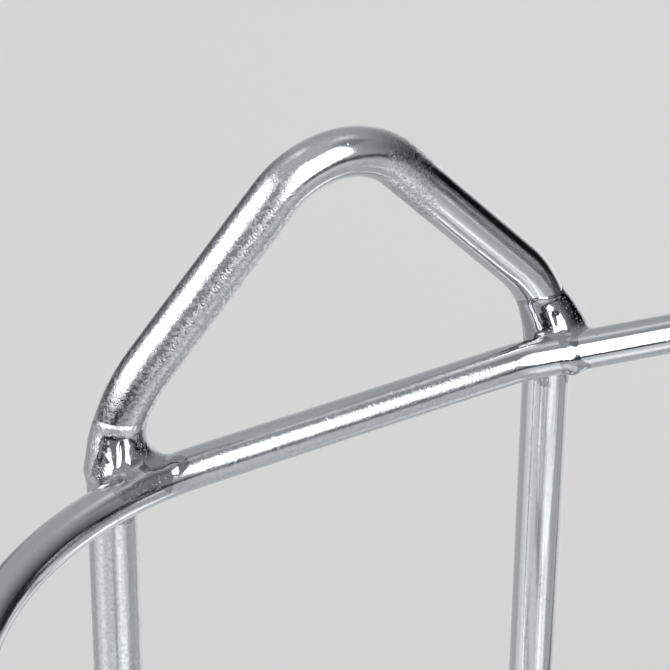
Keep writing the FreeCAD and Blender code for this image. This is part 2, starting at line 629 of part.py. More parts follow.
def tongue_shape():
    """Flat plate with a latch window, widening to two arms that carry the webbing bar."""
    w = P("web_w") / 2
    yb = P("bar_y_tongue")
    plate = box(-20, 20, -4, 36, -1.25, 1.25)
    head = box(-w - 2.6, w + 2.6, 33, 40, -1.25, 1.25)
    arms = [box(w + 0.4, w + 2.6, 33, yb + 3, -1.9, 1.9), box(-w - 2.6, -w - 0.4, 33, yb + 3, -1.9, 1.9)]
    bar = rod_x(3, -w - 0.5, w + 0.5, yb, 0)
    s = fused("tongue", [plate, head, bar] + arms)
    s = s.cut(box(-12.5, 12.5, 0, 12, -5, 5))
    corner_edges = [e for e in s.Edges if abs(e.CenterOfMass.y + 4) < 0.01 and abs(e.Length - 2.5) < 0.01]
    s2 = s.makeFillet(4, corner_edges)
    return s2.Solids[0]


base_shape, lever_shape, tongue_plate = buckle_base_shape(), buckle_lever_shape(), tongue_shape()
pins, springs = [], []
for i, x in enumerate(STRAP_X, start=1):
    strap("strap_%d_anchor_web" % i, x, -1, "bar_y_base")
    strap("strap_%d_tongue_web" % i, x, 1, "bar_y_tongue")
    at = Vector(x, 0, P("buckle_z"))
    static("buckle_%d_base" % i, base_shape, at)
    static("buckle_%d_lever" % i, lever_shape, at)
    static("buckle_%d_tongue" % i, tongue_plate, at)
    w = P("web_w") / 2
    pin = rod_x(P("pin_d") / 2, -w - 2.6, w + 2.6, -P("pin_y"), P("pin_h"))
    pin.translate(at)
    pins.append(pin)
    # torsion spring: round wire wound on the pin
    helix = Part.makeHelix(1.15, 12.65, 3.0)
    sect = Part.Wire([Part.Circle(Vector(3.0, 0, 0), Vector(0, 1, 0), 0.45).toShape()])
    coil = Part.Wire(helix.Edges).makePipeShell([sect], True, True)
    coil.rotate(Vector(0, 0, 0), Vector(0, 1, 0), 90)
    coil.translate(Vector(x - 6.3, -P("pin_y"), P("buckle_z") + P("pin_h")))
    springs.append(coil)
static("buckle_lever_pins", Part.makeCompound(pins), Vector(0, 0, 0))
static("buckle_lever_springs", Part.makeCompound(springs), Vector(0, 0, 0))


# ---------------------------------------------------------------- foot rest
def foot_plate():
    """Plate across the bed, flanges turned back at its top and bottom edge, with round holes."""
    w, lo, hi, t = P("plate_w"), P("plate_lo"), P("plate_hi"), P("plate_t")
    back = -P("tube_d") / 2 - 0.1
    body = doc.addObject("PartDesign::Body", "foot_plate")
    sk = new_sketch(body, "Section", "XZ_Plane")
    fl = 14.0
    pts = [(back - t, lo), (back - t + fl, lo), (back - t + fl, lo + t), (back, lo + t), (back, hi - t),
           (back - t + fl, hi - t), (back - t + fl, hi), (back - t, hi)]
    n = len(pts)
    g = [sk.addGeometry(Part.LineSegment(Vector(*pts[i], 0), Vector(*pts[(i + 1) % n], 0)), False) for i in range(n)]
    for i in range(n):
        sk.addConstraint(Sketcher.Constraint("Coincident", g[i], 2, g[(i + 1) % n], 1))
        sk.addConstraint(Sketcher.Constraint("Horizontal" if i % 2 == 0 else "Vertical", g[i]))
    at_coord(sk, g[0], 1, "y", lo, "dims.plate_lo")
    at_coord(sk, g[6], 1, "y", hi, "dims.plate_hi")
    at_coord(sk, g[0], 1, "x", back - t, "dims.tube_d / 2 + 0.1 + dims.plate_t")
    at_coord(sk, g[3], 1, "x", back, "dims.tube_d / 2 + 0.1")
    at_coord(sk, g[1], 2, "y", lo + t, "dims.plate_lo + dims.plate_t")
    at_coord(sk, g[5], 1, "y", hi - t, "dims.plate_hi - dims.plate_t")
    at_coord(sk, g[1], 1, "x", back - t + fl)
    at_coord(sk, g[5], 2, "x", back - t + fl)
    pad = body.newObject("PartDesign::Pad", "Plate")
    pad.Profile = sk
    pad.Midplane = True
    pad.Length = w
    pad.setExpression("Length", "dims.plate_w")
    doc.recompute()
    vol = pad.Shape.Volume
    holes = new_sketch(body, "Holes", "YZ_Plane", back - t - 1)
    for zc in (52.0, 104.0, 136.0):
        for k in range(-2, 3):
            holes.addGeometry(Part.Circle(Vector(k * 50.0, zc, 0), Vector(0, 0, 1), 10), False)
    for yc in (-150.0, 150.0):
        for s in (-1, 1):
            holes.addGeometry(Part.Circle(Vector(yc, P("lower_z") + s * 18.0, 0), Vector(0, 0, 1), 3.3), False)
    cut = body.newObject("PartDesign::Pocket", "HoleCuts")
    cut.Profile = holes
    cut.Length = t + 2
    cut.Reversed = True
    doc.recompute()
    if vol - cut.Shape.Volume < 1000:
        cut.Reversed = False
        doc.recompute()
    if vol - cut.Shape.Volume < 1000:
        raise RuntimeError("the plate's holes cut nothing")
    body.Placement = Placement(Vector(P("foot_x"), 0, 0), Rotation())
    body.setExpression("Placement.Base.x", "dims.foot_x")
    return keep(body, "foot_plate")


foot_plate()

# cross tube, its ends in the two clamp blocks
tube_half = P("skin_y") - low_d / 2 - 9.0
tube = doc.addObject("Part::Cylinder", "tube_outside")
tube.setExpression("Radius", "dims.tube_d / 2")
tube.setExpression("Height", "2 * (dims.skin_y - dims.lower_d / 2 - 9)")
hole = doc.addObject("Part::Cylinder", "tube_inside")
hole.setExpression("Radius", "dims.tube_d / 2 - dims.tube_t")
hole.setExpression("Height", "2 * (dims.skin_y - dims.lower_d / 2 - 9) + 4")
hole.Placement = Placement(Vector(0, 0, -2), Rotation())
tube_cut = doc.addObject("Part::Cut", "foot_cross_tube")
tube_cut.Base = tube
tube_cut.Tool = hole
tube_cut.Placement = Placement(Vector(P("foot_x"), -tube_half, P("lower_z")), Rotation(Vector(1, 0, 0), -90))
tube_cut.setExpression("Placement.Base.x", "dims.foot_x")
tube_cut.setExpression("Placement.Base.y", "-(dims.skin_y - dims.lower_d / 2 - 9)")
tube_cut.setExpression("Placement.Base.z", "dims.lower_z")
keep(tube_cut, "foot_cross_tube")


def clamp_block(label, side):
    """Block on the lower rail: rail bore, socket for the cross tube, threaded screw hole from the top."""
    l, w, h = P("clamp_l"), P("clamp_w"), P("clamp_h")
    rail_y = P("skin_y") - low_d / 2
    blk = doc.addObject("Part::Box", label + "_block")
    blk.setExpression("Length", "dims.clamp_l")
    blk.setExpression("Width", "dims.clamp_w")
    blk.setExpression("Height", "dims.clamp_h")
    y_in = side * rail_y - w / 2 - side * 3
    blk.Placement = Placement(Vector(-l / 2, y_in, P("lower_z") - h / 2), Rotation())
    bore = doc.addObject("Part::Cylinder", label + "_bore")
    bore.setExpression("Radius", "dims.lower_d / 2 + 0.3")
    bore.setExpression("Height", "dims.clamp_l + 4")
    bore.Placement = Placement(Vector(-l / 2 - 2, side * rail_y, P("lower_z")), Rotation(Vector(0, 1, 0), 90))
    socket = doc.addObject("Part::Cylinder", label + "_socket")
    socket.setExpression("Radius", "dims.tube_d / 2")
    socket.Height = 40
    y0 = side * (rail_y - 9.0)
    socket.Placement = Placement(Vector(0, y0, P("lower_z")), Rotation(Vector(1, 0, 0), 90 if side > 0 else -90))
    thread = doc.addObject("Part::Cylinder", label + "_thread")
    thread.setExpression("Radius", "dims.screw_d / 2")
    thread.Height = 30
    thread.Placement = Placement(Vector(0, side * rail_y, P("lower_z") + 2), Rotation())
    tools = doc.addObject("Part::MultiFuse", label + "_tools")
    tools.Shapes = [bore, socket, thread]
    cut = doc.addObject("Part::Cut", label + "_cut")
    cut.Base = blk
    cut.Tool = tools
    doc.recompute()
    rounded = doc.addObject("Part::Fillet", label)
    rounded.Base = cut
    edges = []
    for i, e in enumerate(cut.Shape.Edges, start=1):
        if isinstance(e.Curve, (Part.Line, Part.LineSegment)) and e.Length > w - 4:
            edges.append((i, 2.5, 2.5))
    rounded.Edges = edges
    rounded.Placement = Placement(Vector(P("foot_x"), 0, 0), Rotation())
    rounded.setExpression("Placement.Base.x", "dims.foot_x")
    return keep(rounded, label)


clamp_block("rail_clamp_left", 1)
clamp_block("rail_clamp_right", -1)


def tee_screw(label, side):
    """Screw with a sliding tee bar, its tip just above the rail."""
    rail_y = side * (P("skin_y") - low_d / 2)
    tip = P("lower_z") + low_d / 2 + 0.3
    top = P("lower_z") + P("clamp_h") / 2 + 24
    shank = doc.addObject("Part::Cylinder", label + "_shank")
    shank.setExpression("Radius", "dims.screw_d / 2 - 0.05")
    shank.Height = top - tip
    shank.Placement = Placement(Vector(0, 0, tip), Rotation())
    head = doc.addObject("Part::Cylinder", label + "_head")
    head.Radius = 6.5
    head.Height = 13
    head.Placement = Placement(Vector(0, 0, top - 13), Rotation())
    bar = doc.addObject("Part::Cylinder", label + "_bar")
    bar.Radius = 2.5
    bar.Height = 44
    bar.Placement = Placement(Vector(-22, 0, top - 6.5), Rotation(Vector(0, 1, 0), 90))
    balls = []
    for s in (-1, 1):
        b = doc.addObject("Part::Sphere", label + ("_ball_a" if s < 0 else "_ball_b"))
        b.Radius = 4
        b.Placement = Placement(Vector(22 * s, 0, top - 6.5), Rotation())
        balls.append(b)
    screw = doc.addObject("Part::MultiFuse", label)
    screw.Shapes = [shank, head, bar] + balls
    screw.Placement = Placement(Vector(P("foot_x"), rail_y, 0), Rotation())
    screw.setExpression("Placement.Base.x", "dims.foot_x")
    return keep(screw, label)


tee_screw("clamp_screw_left", 1)
tee_screw("clamp_screw_right", -1)

# two saddles hold the plate against the tube, each with two screws and nuts
saddles, bolts = [], []
ts = P("tube_d") / 2
plate_back = -ts - 0.1
tz = P("lower_z")
for yc in (-150.0, 150.0):
    ring = Part.makeCylinder(ts + 2.1, 20, Vector(0, yc - 10, tz), Vector(0, 1, 0))
    ears = box(plate_back + 0.05, plate_back + 2.05, yc - 10, yc + 10, tz - 25.5, tz + 25.5)
    fill = box(plate_back + 0.05, 0, yc - 10, yc + 10, tz - ts - 2.1, tz + ts + 2.1)
    s = ring.fuse([ears, fill])
    s = s.cut(Part.makeCylinder(ts + 0.05, 24, Vector(0, yc - 12, tz), Vector(0, 1, 0)))
    s = s.cut(box(-30, plate_back + 0.05, yc - 30, yc + 30, 50, 140))
    s = s.cut(box(plate_back, 0, yc - 12, yc + 12, tz - ts - 0.05, tz + ts + 0.05))
    for dz in (-18, 18):
        s = s.cut(Part.makeCylinder(3.3, 12, Vector(plate_back - 4, yc, tz + dz), Vector(1, 0, 0)))
        shank = Part.makeCylinder(3.0, 12, Vector(plate_back - 3.1, yc, tz + dz), Vector(1, 0, 0))
        cap = Part.makeSphere(9, Vector(0, 0, 0)).common(box(-9, -6.6, -9, 9, -9, 9))
        cap.translate(Vector(plate_back - 3.05 + 6.6, yc, tz + dz))
        nut = []
        for k in range(6):
            a = math.radians(60 * k + 30)
            nut.append(Vector(plate_back + 2.15, yc + 5.8 * math.cos(a), tz + dz + 5.8 * math.sin(a)))
        nut.append(nut[0])
        hexa = Part.Face(Part.makePolygon(nut)).extrude(Vector(5, 0, 0))
        bolts.append(shank.fuse([cap, hexa]).removeSplitter())
    saddles.append(s.Solids[0])
static("plate_saddles", Part.makeCompound(saddles), Vector(P("foot_x"), 0, 0))
static("plate_screws", Part.makeCompound(bolts), Vector(P("foot_x"), 0, 0))

doc.recompute()


# ---------------------------------------------------------------- welds
def shape_of(label):
    return [o for n, o in parts if n == label][0].Shape


def bead(centre, radius, near, half_length=0.0):
    """Weld metal: a ball, or with half_length a short round run along Y, less the bars it joins."""
    for more in (0.0, 0.11, 0.23, 0.37, -0.13, -0.29):
        r = radius + more
        s = Part.makeSphere(r)
        if half_length:
            s = Part.makeCylinder(r, 2 * half_length, Vector(0, -half_length, 0), Vector(0, 1, 0))
        s.translate(centre)
        for bar in near:
            s = s.cut(bar)
        solids = sorted(s.Solids, key=lambda q: -q.Volume)
        if solids and solids[0].isValid() and solids[0].Volume > 15:
            return solids[0]
    raise RuntimeError("no bead at %s" % centre)


def eyelet_welds(label, foot, side):
    """Beads in the corner between an eyelet's legs and the rails, on the patient's side."""
    sx = 1 if foot else -1
    end = "foot" if foot else "head"
    hp = shape_of("%s_eyelet_hoop" % end)
    # at the inner leg the bars run straight through their butt joint, so one length stands for both
    x0 = sx * P("joint_x")

    def through(d, z):
        return rod_x(d / 2, x0 - 30, x0 + 30, side * (P("skin_y") - d / 2), z)

    straight = through(rail_d, P("rail_z")), through(low_d, P("lower_z"))
    curved = shape_of("%s_rail_bow" % end), shape_of("%s_lower_bow" % end)
    out = []
    inner = Vector(sx * P("joint_x"), side * leg_y, 0)
    outer = Vector(sx * P("outer_leg_x"), side * P("outer_leg_y"), 0)
    n_in = Vector(0, -side, 0)
    ang = math.radians(20)
    n_out = Vector(-sx * math.sin(ang), -side * math.cos(ang), 0)
    for leg, n, (top, low) in ((inner, n_in, straight), (outer, n_out, curved)):
        c = leg + n * 7.5
        out.append(bead(Vector(c.x, c.y, P("rail_z") + 6.5), 6.5, [hp, top]))
        out.append(bead(Vector(c.x, c.y, P("rail_z") - 6), 5.0, [hp, top]))
        c = leg + n * 7.0
        out.append(bead(Vector(c.x, c.y, P("lower_z") + 5), 4.6, [hp, low]))
        out.append(bead(Vector(c.x, c.y, P("lower_z") - 5), 4.6, [hp, low]))
    return static(label, Part.makeCompound(out), Vector(0, 0, 0))


eyelet_welds("eyelet_welds_head_left", False, 1)
eyelet_welds("eyelet_welds_head_right", False, -1)
eyelet_welds("eyelet_welds_foot_left", True, 1)
eyelet_welds("eyelet_welds_foot_right", True, -1)

# ribs to the rails
out = []
for name, x in (("rib_chest", -P("rib_x")), ("rib_middle", 0.0), ("rib_knee", P("rib_x"))):
    leg = shape_of(name)
    for side in (-1, 1):
        tag = "left" if side > 0 else "right"
        for z, bar in ((P("rail_z"), "side_rail_" + tag), (P("lower_z"), "lower_rail_" + tag)):
            near = [leg, shape_of(bar)]
            out.append(bead(Vector(x, side * (leg_y - 7), z - 5.5), 4.8, near))
            if z < 150:
                out.append(bead(Vector(x, side * (leg_y - 7), z + 5.5), 4.8, near))
static("rib_welds", Part.makeCompound(out), Vector(0, 0, 0))

# upturned bed rods to the end bows
out = []
ex = P("end_x") - rail_d - gap - bed_d / 2
for k in range(-2, 3):
    y = k * P("bed_pitch")
    rod = shape_of("bed_rod_%d" % (3 - k))
    for sx, end in ((-1, "head"), (1, "foot")):
        for z, bar in ((P("rail_z"), end + "_rail_bow"), (P("lower_z"), end + "_lower_bow")):
            out.append(bead(Vector(sx * (ex + 4.6), y, z - 5.0), 3.9, [rod, shape_of(bar)]))
static("bow_welds", Part.makeCompound(out), Vector(0, 0, 0))

# runners to the bars above them and to the lower bows
out = []
bars = [("head_eyelet_hoop", -P("outer_leg_x")), ("head_eyelet_hoop", -P("joint_x")), ("rib_chest", -P("rib_x")),
        ("rib_middle", 0.0), ("rib_knee", P("rib_x")), ("foot_eyelet_hoop", P("joint_x")), ("foot_eyelet_hoop", P("outer_leg_x"))]
for side, tag in ((1, "left"), (-1, "right")):
    run = shape_of("runner_" + tag)
    for name, x in bars:
        s = 1 if x <= 0 else -1
        out.append(bead(Vector(x + s * 6.0, side * P("runner_y"), 6.2), 3.4, [run, shape_of(name)], 9.5))
    for sx, end in ((-1, "head"), (1, "foot")):
        out.append(bead(Vector(sx * 1056.5, side * P("runner_y"), P("lower_z") - 5.0), 3.6, [run, shape_of(end + "_lower_bow")], 9.0))
static("runner_welds", Part.makeCompound(out), Vector(0, 0, 0))

doc.recompute()

# ---------------------------------------------------------------- checks and export
for o in doc.Objects:
    bad = [x for x in o.State if x in ("Invalid", "Error")]
    if bad:
        raise RuntimeError("%s (%s) is %s" % (o.Name, o.Label, bad))
for label, obj in parts:
    s = obj.Shape
    if s.isNull() or not s.isValid() or not s.Solids:
        raise RuntimeError("%s has no valid solid" % label)
    for solid in s.Solids:
        if solid.Volume <= 0:
            raise RuntimeError("%s has a solid with no volume" % label)
os.makedirs("parts", exist_ok=True)
for name in os.listdir("parts"):
    if name.endswith(".step"):
        os.remove(os.path.join("parts", name))
for label, obj in parts:
    obj.Shape.exportStep(os.path.join("parts", label + ".step"))
print(len(parts), "parts,", sum(len(o.Shape.Solids) for _, o in parts), "solids,",
      round(sum(o.Shape.Volume for _, o in parts) / 1e6, 3), "litres")
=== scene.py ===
"""Looks of the rod-built rescue stretcher: bright zinc bars, weld beads, webbing, buckles and foot rest."""

import bpy
import bmesh
import math
import numpy as np
from mathutils import Matrix, Vector


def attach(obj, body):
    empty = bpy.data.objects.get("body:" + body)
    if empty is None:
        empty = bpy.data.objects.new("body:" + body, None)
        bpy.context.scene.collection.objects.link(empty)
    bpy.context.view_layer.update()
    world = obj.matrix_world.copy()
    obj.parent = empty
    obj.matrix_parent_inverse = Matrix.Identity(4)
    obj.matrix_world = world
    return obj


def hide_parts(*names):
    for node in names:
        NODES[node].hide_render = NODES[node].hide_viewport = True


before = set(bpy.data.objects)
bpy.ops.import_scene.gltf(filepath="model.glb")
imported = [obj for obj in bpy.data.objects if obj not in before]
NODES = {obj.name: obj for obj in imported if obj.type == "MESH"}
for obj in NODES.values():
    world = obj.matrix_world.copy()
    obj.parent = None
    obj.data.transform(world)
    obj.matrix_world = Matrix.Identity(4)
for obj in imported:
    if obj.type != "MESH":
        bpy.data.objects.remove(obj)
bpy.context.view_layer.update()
MM = 0.001

# ------------------------------------------------------------------ sizes, in millimetres
RAIL_D, RIB_D, LOW_D, BED_D, WIRE_D = 10.0, 12.0, 8.0, 6.0, 4.0
GAP, SKIN_Y, RAIL_Z, LOW_Z = 0.1, 290.0, 200.0, 76.0
RUN_W, RUN_T, RUN_Y, RUN_X, RUN_R, RUN_TOP = 25.0, 4.0, 110.0, 1060.1, 60.0, 82.0
KINK_X, KINK_A, KINK_R = 889.5, math.radians(11.5), 30.0
SKIN_R, END_X, JOINT_X = 101.0, 1060.0, 877.5
OUT_X, OUT_Y = 998.3, 272.5
SHOULDER_IN, SHOULDER_OUT, APEX, APEX_OFF, APEX_R, SHOULDER_R, RIB_R = 12.0, 14.2, 78.7, 0.3, 23.3, 40.0, 45.0
RIB_X, RIB_TOP, BED_R, BED_TOP, PITCH = 440.0, 204.0, 50.0, 203.0, 73.0
EDGE_Y, EDGE_X = 218.0, 1010.0
RIB_Z = RUN_T + GAP + RIB_D / 2
BED_Z = RIB_Z + RIB_D / 2 + GAP + BED_D / 2
WIRE_Z = BED_Z + BED_D / 2 + 0.05 + WIRE_D / 2
LEG_Y = SKIN_Y + GAP + RIB_D / 2
BED_X = END_X - RAIL_D - GAP - BED_D / 2


def noise3(p, seed=0.0):
    """Smooth pseudo-random value in -1..1 for points p (n, 3), the same on every run."""
    x, y, z = p[:, 0] + seed * 17.3, p[:, 1] - seed * 9.1, p[:, 2] + seed * 5.7
    return (np.sin(x * 1.7 + np.sin(y * 1.3) * 1.9) + np.sin(y * 2.1 + np.sin(z * 1.1) * 1.7)
            + np.sin(z * 1.9 + np.sin(x * 0.9) * 2.3)) / 3.0


# ------------------------------------------------------------------ routes
def route(pts, radii, closed=False, turn=2.5):
    """Points along straight runs and tangent arcs (mm). radii has one value per corner point."""
    pts = [np.array(p, float) for p in pts]
    n = len(pts)
    out = []
    corners = range(n) if closed else range(1, n - 1)
    if not closed:
        out.append(pts[0])
    for i in corners:
        a, b, c = pts[(i - 1) % n], pts[i], pts[(i + 1) % n]
        u, v = (a - b) / np.linalg.norm(a - b), (c - b) / np.linalg.norm(c - b)
        r = radii[i]
        ang = math.acos(max(-1.0, min(1.0, float(u @ v))))
        back = r / math.tan(ang / 2)
        w = (u + v) / np.linalg.norm(u + v)
        cen = b + w * (r / math.sin(ang / 2))
        e1 = (b + u * back - cen) / r
        nrm = np.cross(e1, b + v * back - cen)
        nrm /= np.linalg.norm(nrm)
        e2 = np.cross(nrm, e1)
        total = math.pi - ang
        k = max(3, int(math.ceil(math.degrees(total) / turn)))
        for j in range(k + 1):
            q = total * j / k
            out.append(cen + r * (e1 * math.cos(q) + e2 * math.sin(q)))
    if not closed:
        out.append(pts[-1])
    return np.array(out)


def densify(path, longest, closed=False):
    """The same path with no run longer than `longest`."""
    out = []
    n = len(path)
    for i in range(n if closed else n - 1):
        a, b = path[i], path[(i + 1) % n]
        k = max(1, int(math.ceil(np.linalg.norm(b - a) / longest)))
        for j in range(k):
            out.append(a + (b - a) * j / k)
    if not closed:
        out.append(path[-1])
    return np.array(out)


def bow_route(d, z, foot=False, turn=2.5):
    y0, ex = SKIN_Y - d / 2, END_X - RAIL_D + d / 2
    kx = KINK_X + (5 - d / 2) * math.tan(KINK_A / 2)
    cy = y0 - (ex - kx) * math.tan(KINK_A)
    r = SKIN_R - d / 2
    pts = [(-JOINT_X, y0, z), (-kx, y0, z), (-ex, cy, z), (-ex, -cy, z), (-kx, -y0, z), (-JOINT_X, -y0, z)]
    p = route(pts, [0, KINK_R, r, r, KINK_R, 0], turn=turn)
    if foot:
        p = p * np.array([-1, -1, 1])
    return p


def hoop_route(foot=False, turn=2.0):
    xi, yi, xo, yo = -JOINT_X, LEG_Y, -OUT_X, OUT_Y
    si, so, za = RAIL_Z + SHOULDER_IN, RAIL_Z + SHOULDER_OUT, RAIL_Z + APEX
    xm, ym = (xi + xo) / 2 - APEX_OFF, (yi + yo) / 2
    pts = [(xi, yi, RIB_Z), (xi, yi, si), (xm, ym, za), (xo, yo, so), (xo, yo, RIB_Z),
           (xo, -yo, RIB_Z), (xo, -yo, so), (xm, -ym, za), (xi, -yi, si), (xi, -yi, RIB_Z)]
    rad = [RIB_R, SHOULDER_R, APEX_R, SHOULDER_R, RIB_R, RIB_R, SHOULDER_R, APEX_R, SHOULDER_R, RIB_R]
    p = route(pts, rad, closed=True, turn=turn)
    if foot:
        p = p * np.array([-1, -1, 1])
    return p


# ------------------------------------------------------------------ mesh making
def mesh_object(name, verts, faces, uvs=None, smooth=True, node=None, body="frame", slot=None, mats=()):
    """verts in mm. uvs: one (u, v) per face corner, in face order."""
    me = bpy.data.meshes.new(name)
    me.from_pydata((np.asarray(verts) * MM).tolist(), [], faces)
    if uvs is not None:
        layer = me.uv_layers.new(name="UVMap")
        layer.data.foreach_set("uv", np.asarray(uvs, np.float32).ravel())
    me.validate()
    me.update()
    if smooth:
        me.polygons.foreach_set("use_smooth", [True] * len(me.polygons))
    ob = bpy.data.objects.new(name, me)
    bpy.context.scene.collection.objects.link(ob)
    for m in mats:
        me.materials.append(m)
    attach(ob, body)
    if node:
        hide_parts(*([node] if isinstance(node, str) else node))
    return ob


class Build:
    """Collects several closed shells into one mesh."""

    def __init__(self):
        self.v, self.f, self.uv, self.count = [], [], [], 0

    def add(self, v, f, uv=None):
        v = np.asarray(v, float)
        self.v.append(v)
        self.f += [tuple(i + self.count for i in face) for face in f]
        if uv is None:
            uv = [(0.0, 0.0)] * sum(len(face) for face in f)
        self.uv += list(uv)
        self.count += len(v)

    def make(self, name, **kw):
        return mesh_object(name, np.vstack(self.v), self.f, uvs=self.uv, **kw)


def frames(path, closed):
    """Tangents and parallel-carried normals along a path."""
    n = len(path)
    if closed:
        t = np.roll(path, -1, 0) - np.roll(path, 1, 0)
        seg = np.linalg.norm(np.roll(path, -1, 0) - path, axis=1)
        a = (np.roll(path, -1, 0) - path) / seg[:, None]
        t = a + np.roll(a, 1, 0)
    else:
        a = np.diff(path, axis=0)
        a /= np.linalg.norm(a, axis=1)[:, None]
        t = np.vstack([a[:1], a[:-1] + a[1:], a[-1:]])
    t /= np.linalg.norm(t, axis=1)[:, None]
    ref = np.array([0, 0, 1.0]) if abs(t[0, 2]) < 0.9 else np.array([1.0, 0, 0])
    nrm = np.zeros_like(path)
    nrm[0] = ref - t[0] * (ref @ t[0])
    nrm[0] /= np.linalg.norm(nrm[0])
    for i in range(1, n):
        v = nrm[i - 1] - t[i] * (nrm[i - 1] @ t[i])
        nrm[i] = v / np.linalg.norm(v)
    if closed:
        v = nrm[-1] - t[0] * (nrm[-1] @ t[0])
        v /= np.linalg.norm(v)
        b = np.cross(t[0], v)
        twist = math.atan2(nrm[0] @ b, nrm[0] @ v)
        for i in range(n):
            q = twist * i / n
            b = np.cross(t[i], nrm[i])
            nrm[i] = nrm[i] * math.cos(q) + b * math.sin(q)
    return t, nrm, np.cross(t, nrm)


def tube(path, r, sides=32, closed=False, chamfer=0.0):
    """A round bar along the path: vertices, faces, uvs (mm round, mm along). Its ends are closed, with a small chamfer."""
    path = np.asarray(path, float)
    t, nrm, bi = frames(path, closed)
    rad = np.full(len(path), r)
    if not closed and chamfer > 0:
        # a second ring close behind the chamfer keeps the shading of the bar straight right up to its end
        weave_gap_shade, c2 = chamfer, chamfer + 0.5
        path = np.vstack([path[:1], path[:1] + t[:1] * weave_gap_shade, path[:1] + t[:1] * c2, path[1:-1],
                          path[-1:] - t[-1:] * c2, path[-1:] - t[-1:] * weave_gap_shade, path[-1:]])
        t = np.vstack([t[:1], t[:1], t[:1], t[1:-1], t[-1:], t[-1:], t[-1:]])
        nrm = np.vstack([nrm[:1], nrm[:1], nrm[:1], nrm[1:-1], nrm[-1:], nrm[-1:], nrm[-1:]])
        bi = np.cross(t, nrm)
        rad = np.full(len(path), r)
        rad[0] = rad[-1] = r - chamfer
    n = len(path)
    # a round ring of points at each point of the path
    ang = np.linspace(0, 2 * math.pi, sides, endpoint=False)
    ring = np.cos(ang)[None, :, None] * nrm[:, None, :] + np.sin(ang)[None, :, None] * bi[:, None, :]
    v = (path[:, None, :] + ring * rad[:, None, None]).reshape(-1, 3)
    seg = np.linalg.norm(np.diff(path, axis=0, append=path[:1]), axis=1)
    along = np.concatenate([[0], np.cumsum(seg)])
    f, uv = [], []
    rows = n if closed else n - 1
    circ = 2 * math.pi * r
    for i in range(rows):
        j = (i + 1) % n
        for k in range(sides):
            m = (k + 1) % sides
            f.append((i * sides + k, j * sides + k, j * sides + m, i * sides + m))
            u0, u1 = circ * k / sides, circ * (k + 1) / sides
            uv += [(u0, along[i]), (u0, along[i + 1]), (u1, along[i + 1]), (u1, along[i])]
    if not closed:
        for row, flip in ((0, False), (n - 1, True)):
            c = len(v)
            v = np.vstack([v, path[row]])
            for k in range(sides):
                m = (k + 1) % sides
                a, b = row * sides + k, row * sides + m
                f.append((c, b, a) if flip else (c, a, b))
                uv += [(0, along[row])] * 3
    # outward faces
    fr = [tuple(reversed(x)) for x in f]
    uvr, p = [], 0
    for x in f:
        uvr += list(reversed(uv[p:p + len(x)]))
        p += len(x)
    return v, fr, uvr


def one_tube(name, path, r, sides, mat, node, slot, closed=False, chamfer=0.0, body="frame"):
    v, f, uv = tube(path, r, sides, closed, chamfer)
    return mesh_object(name, v, f, uvs=uv, node=node, body=body, slot=slot, mats=[mat])


# ------------------------------------------------------------------ weld metal as a level set
def seg_dist(p, path):
    """Distance from points p (n, 3) to a polyline."""
    best = np.full(len(p), 1e9)
    for a, b in zip(path[:-1], path[1:]):
        ab = b - a
        t = np.clip(((p - a) @ ab) / (ab @ ab), 0, 1)
        d = p - a - t[:, None] * ab
        best = np.minimum(best, np.einsum("ij,ij->i", d, d))
    return np.sqrt(best)


def smin(a, b, k):
    h = np.maximum(k - np.abs(a - b), 0) / k
    return np.minimum(a, b) - h * h * k * 0.25


def ellipsoid(p, c, s):
    q = (p - np.array(c)) / np.array(s)
    k0 = np.linalg.norm(q, axis=1)
    k1 = np.linalg.norm(q / np.array(s), axis=1)
    return k0 * (k0 - 1.0) / np.maximum(k1, 1e-9)


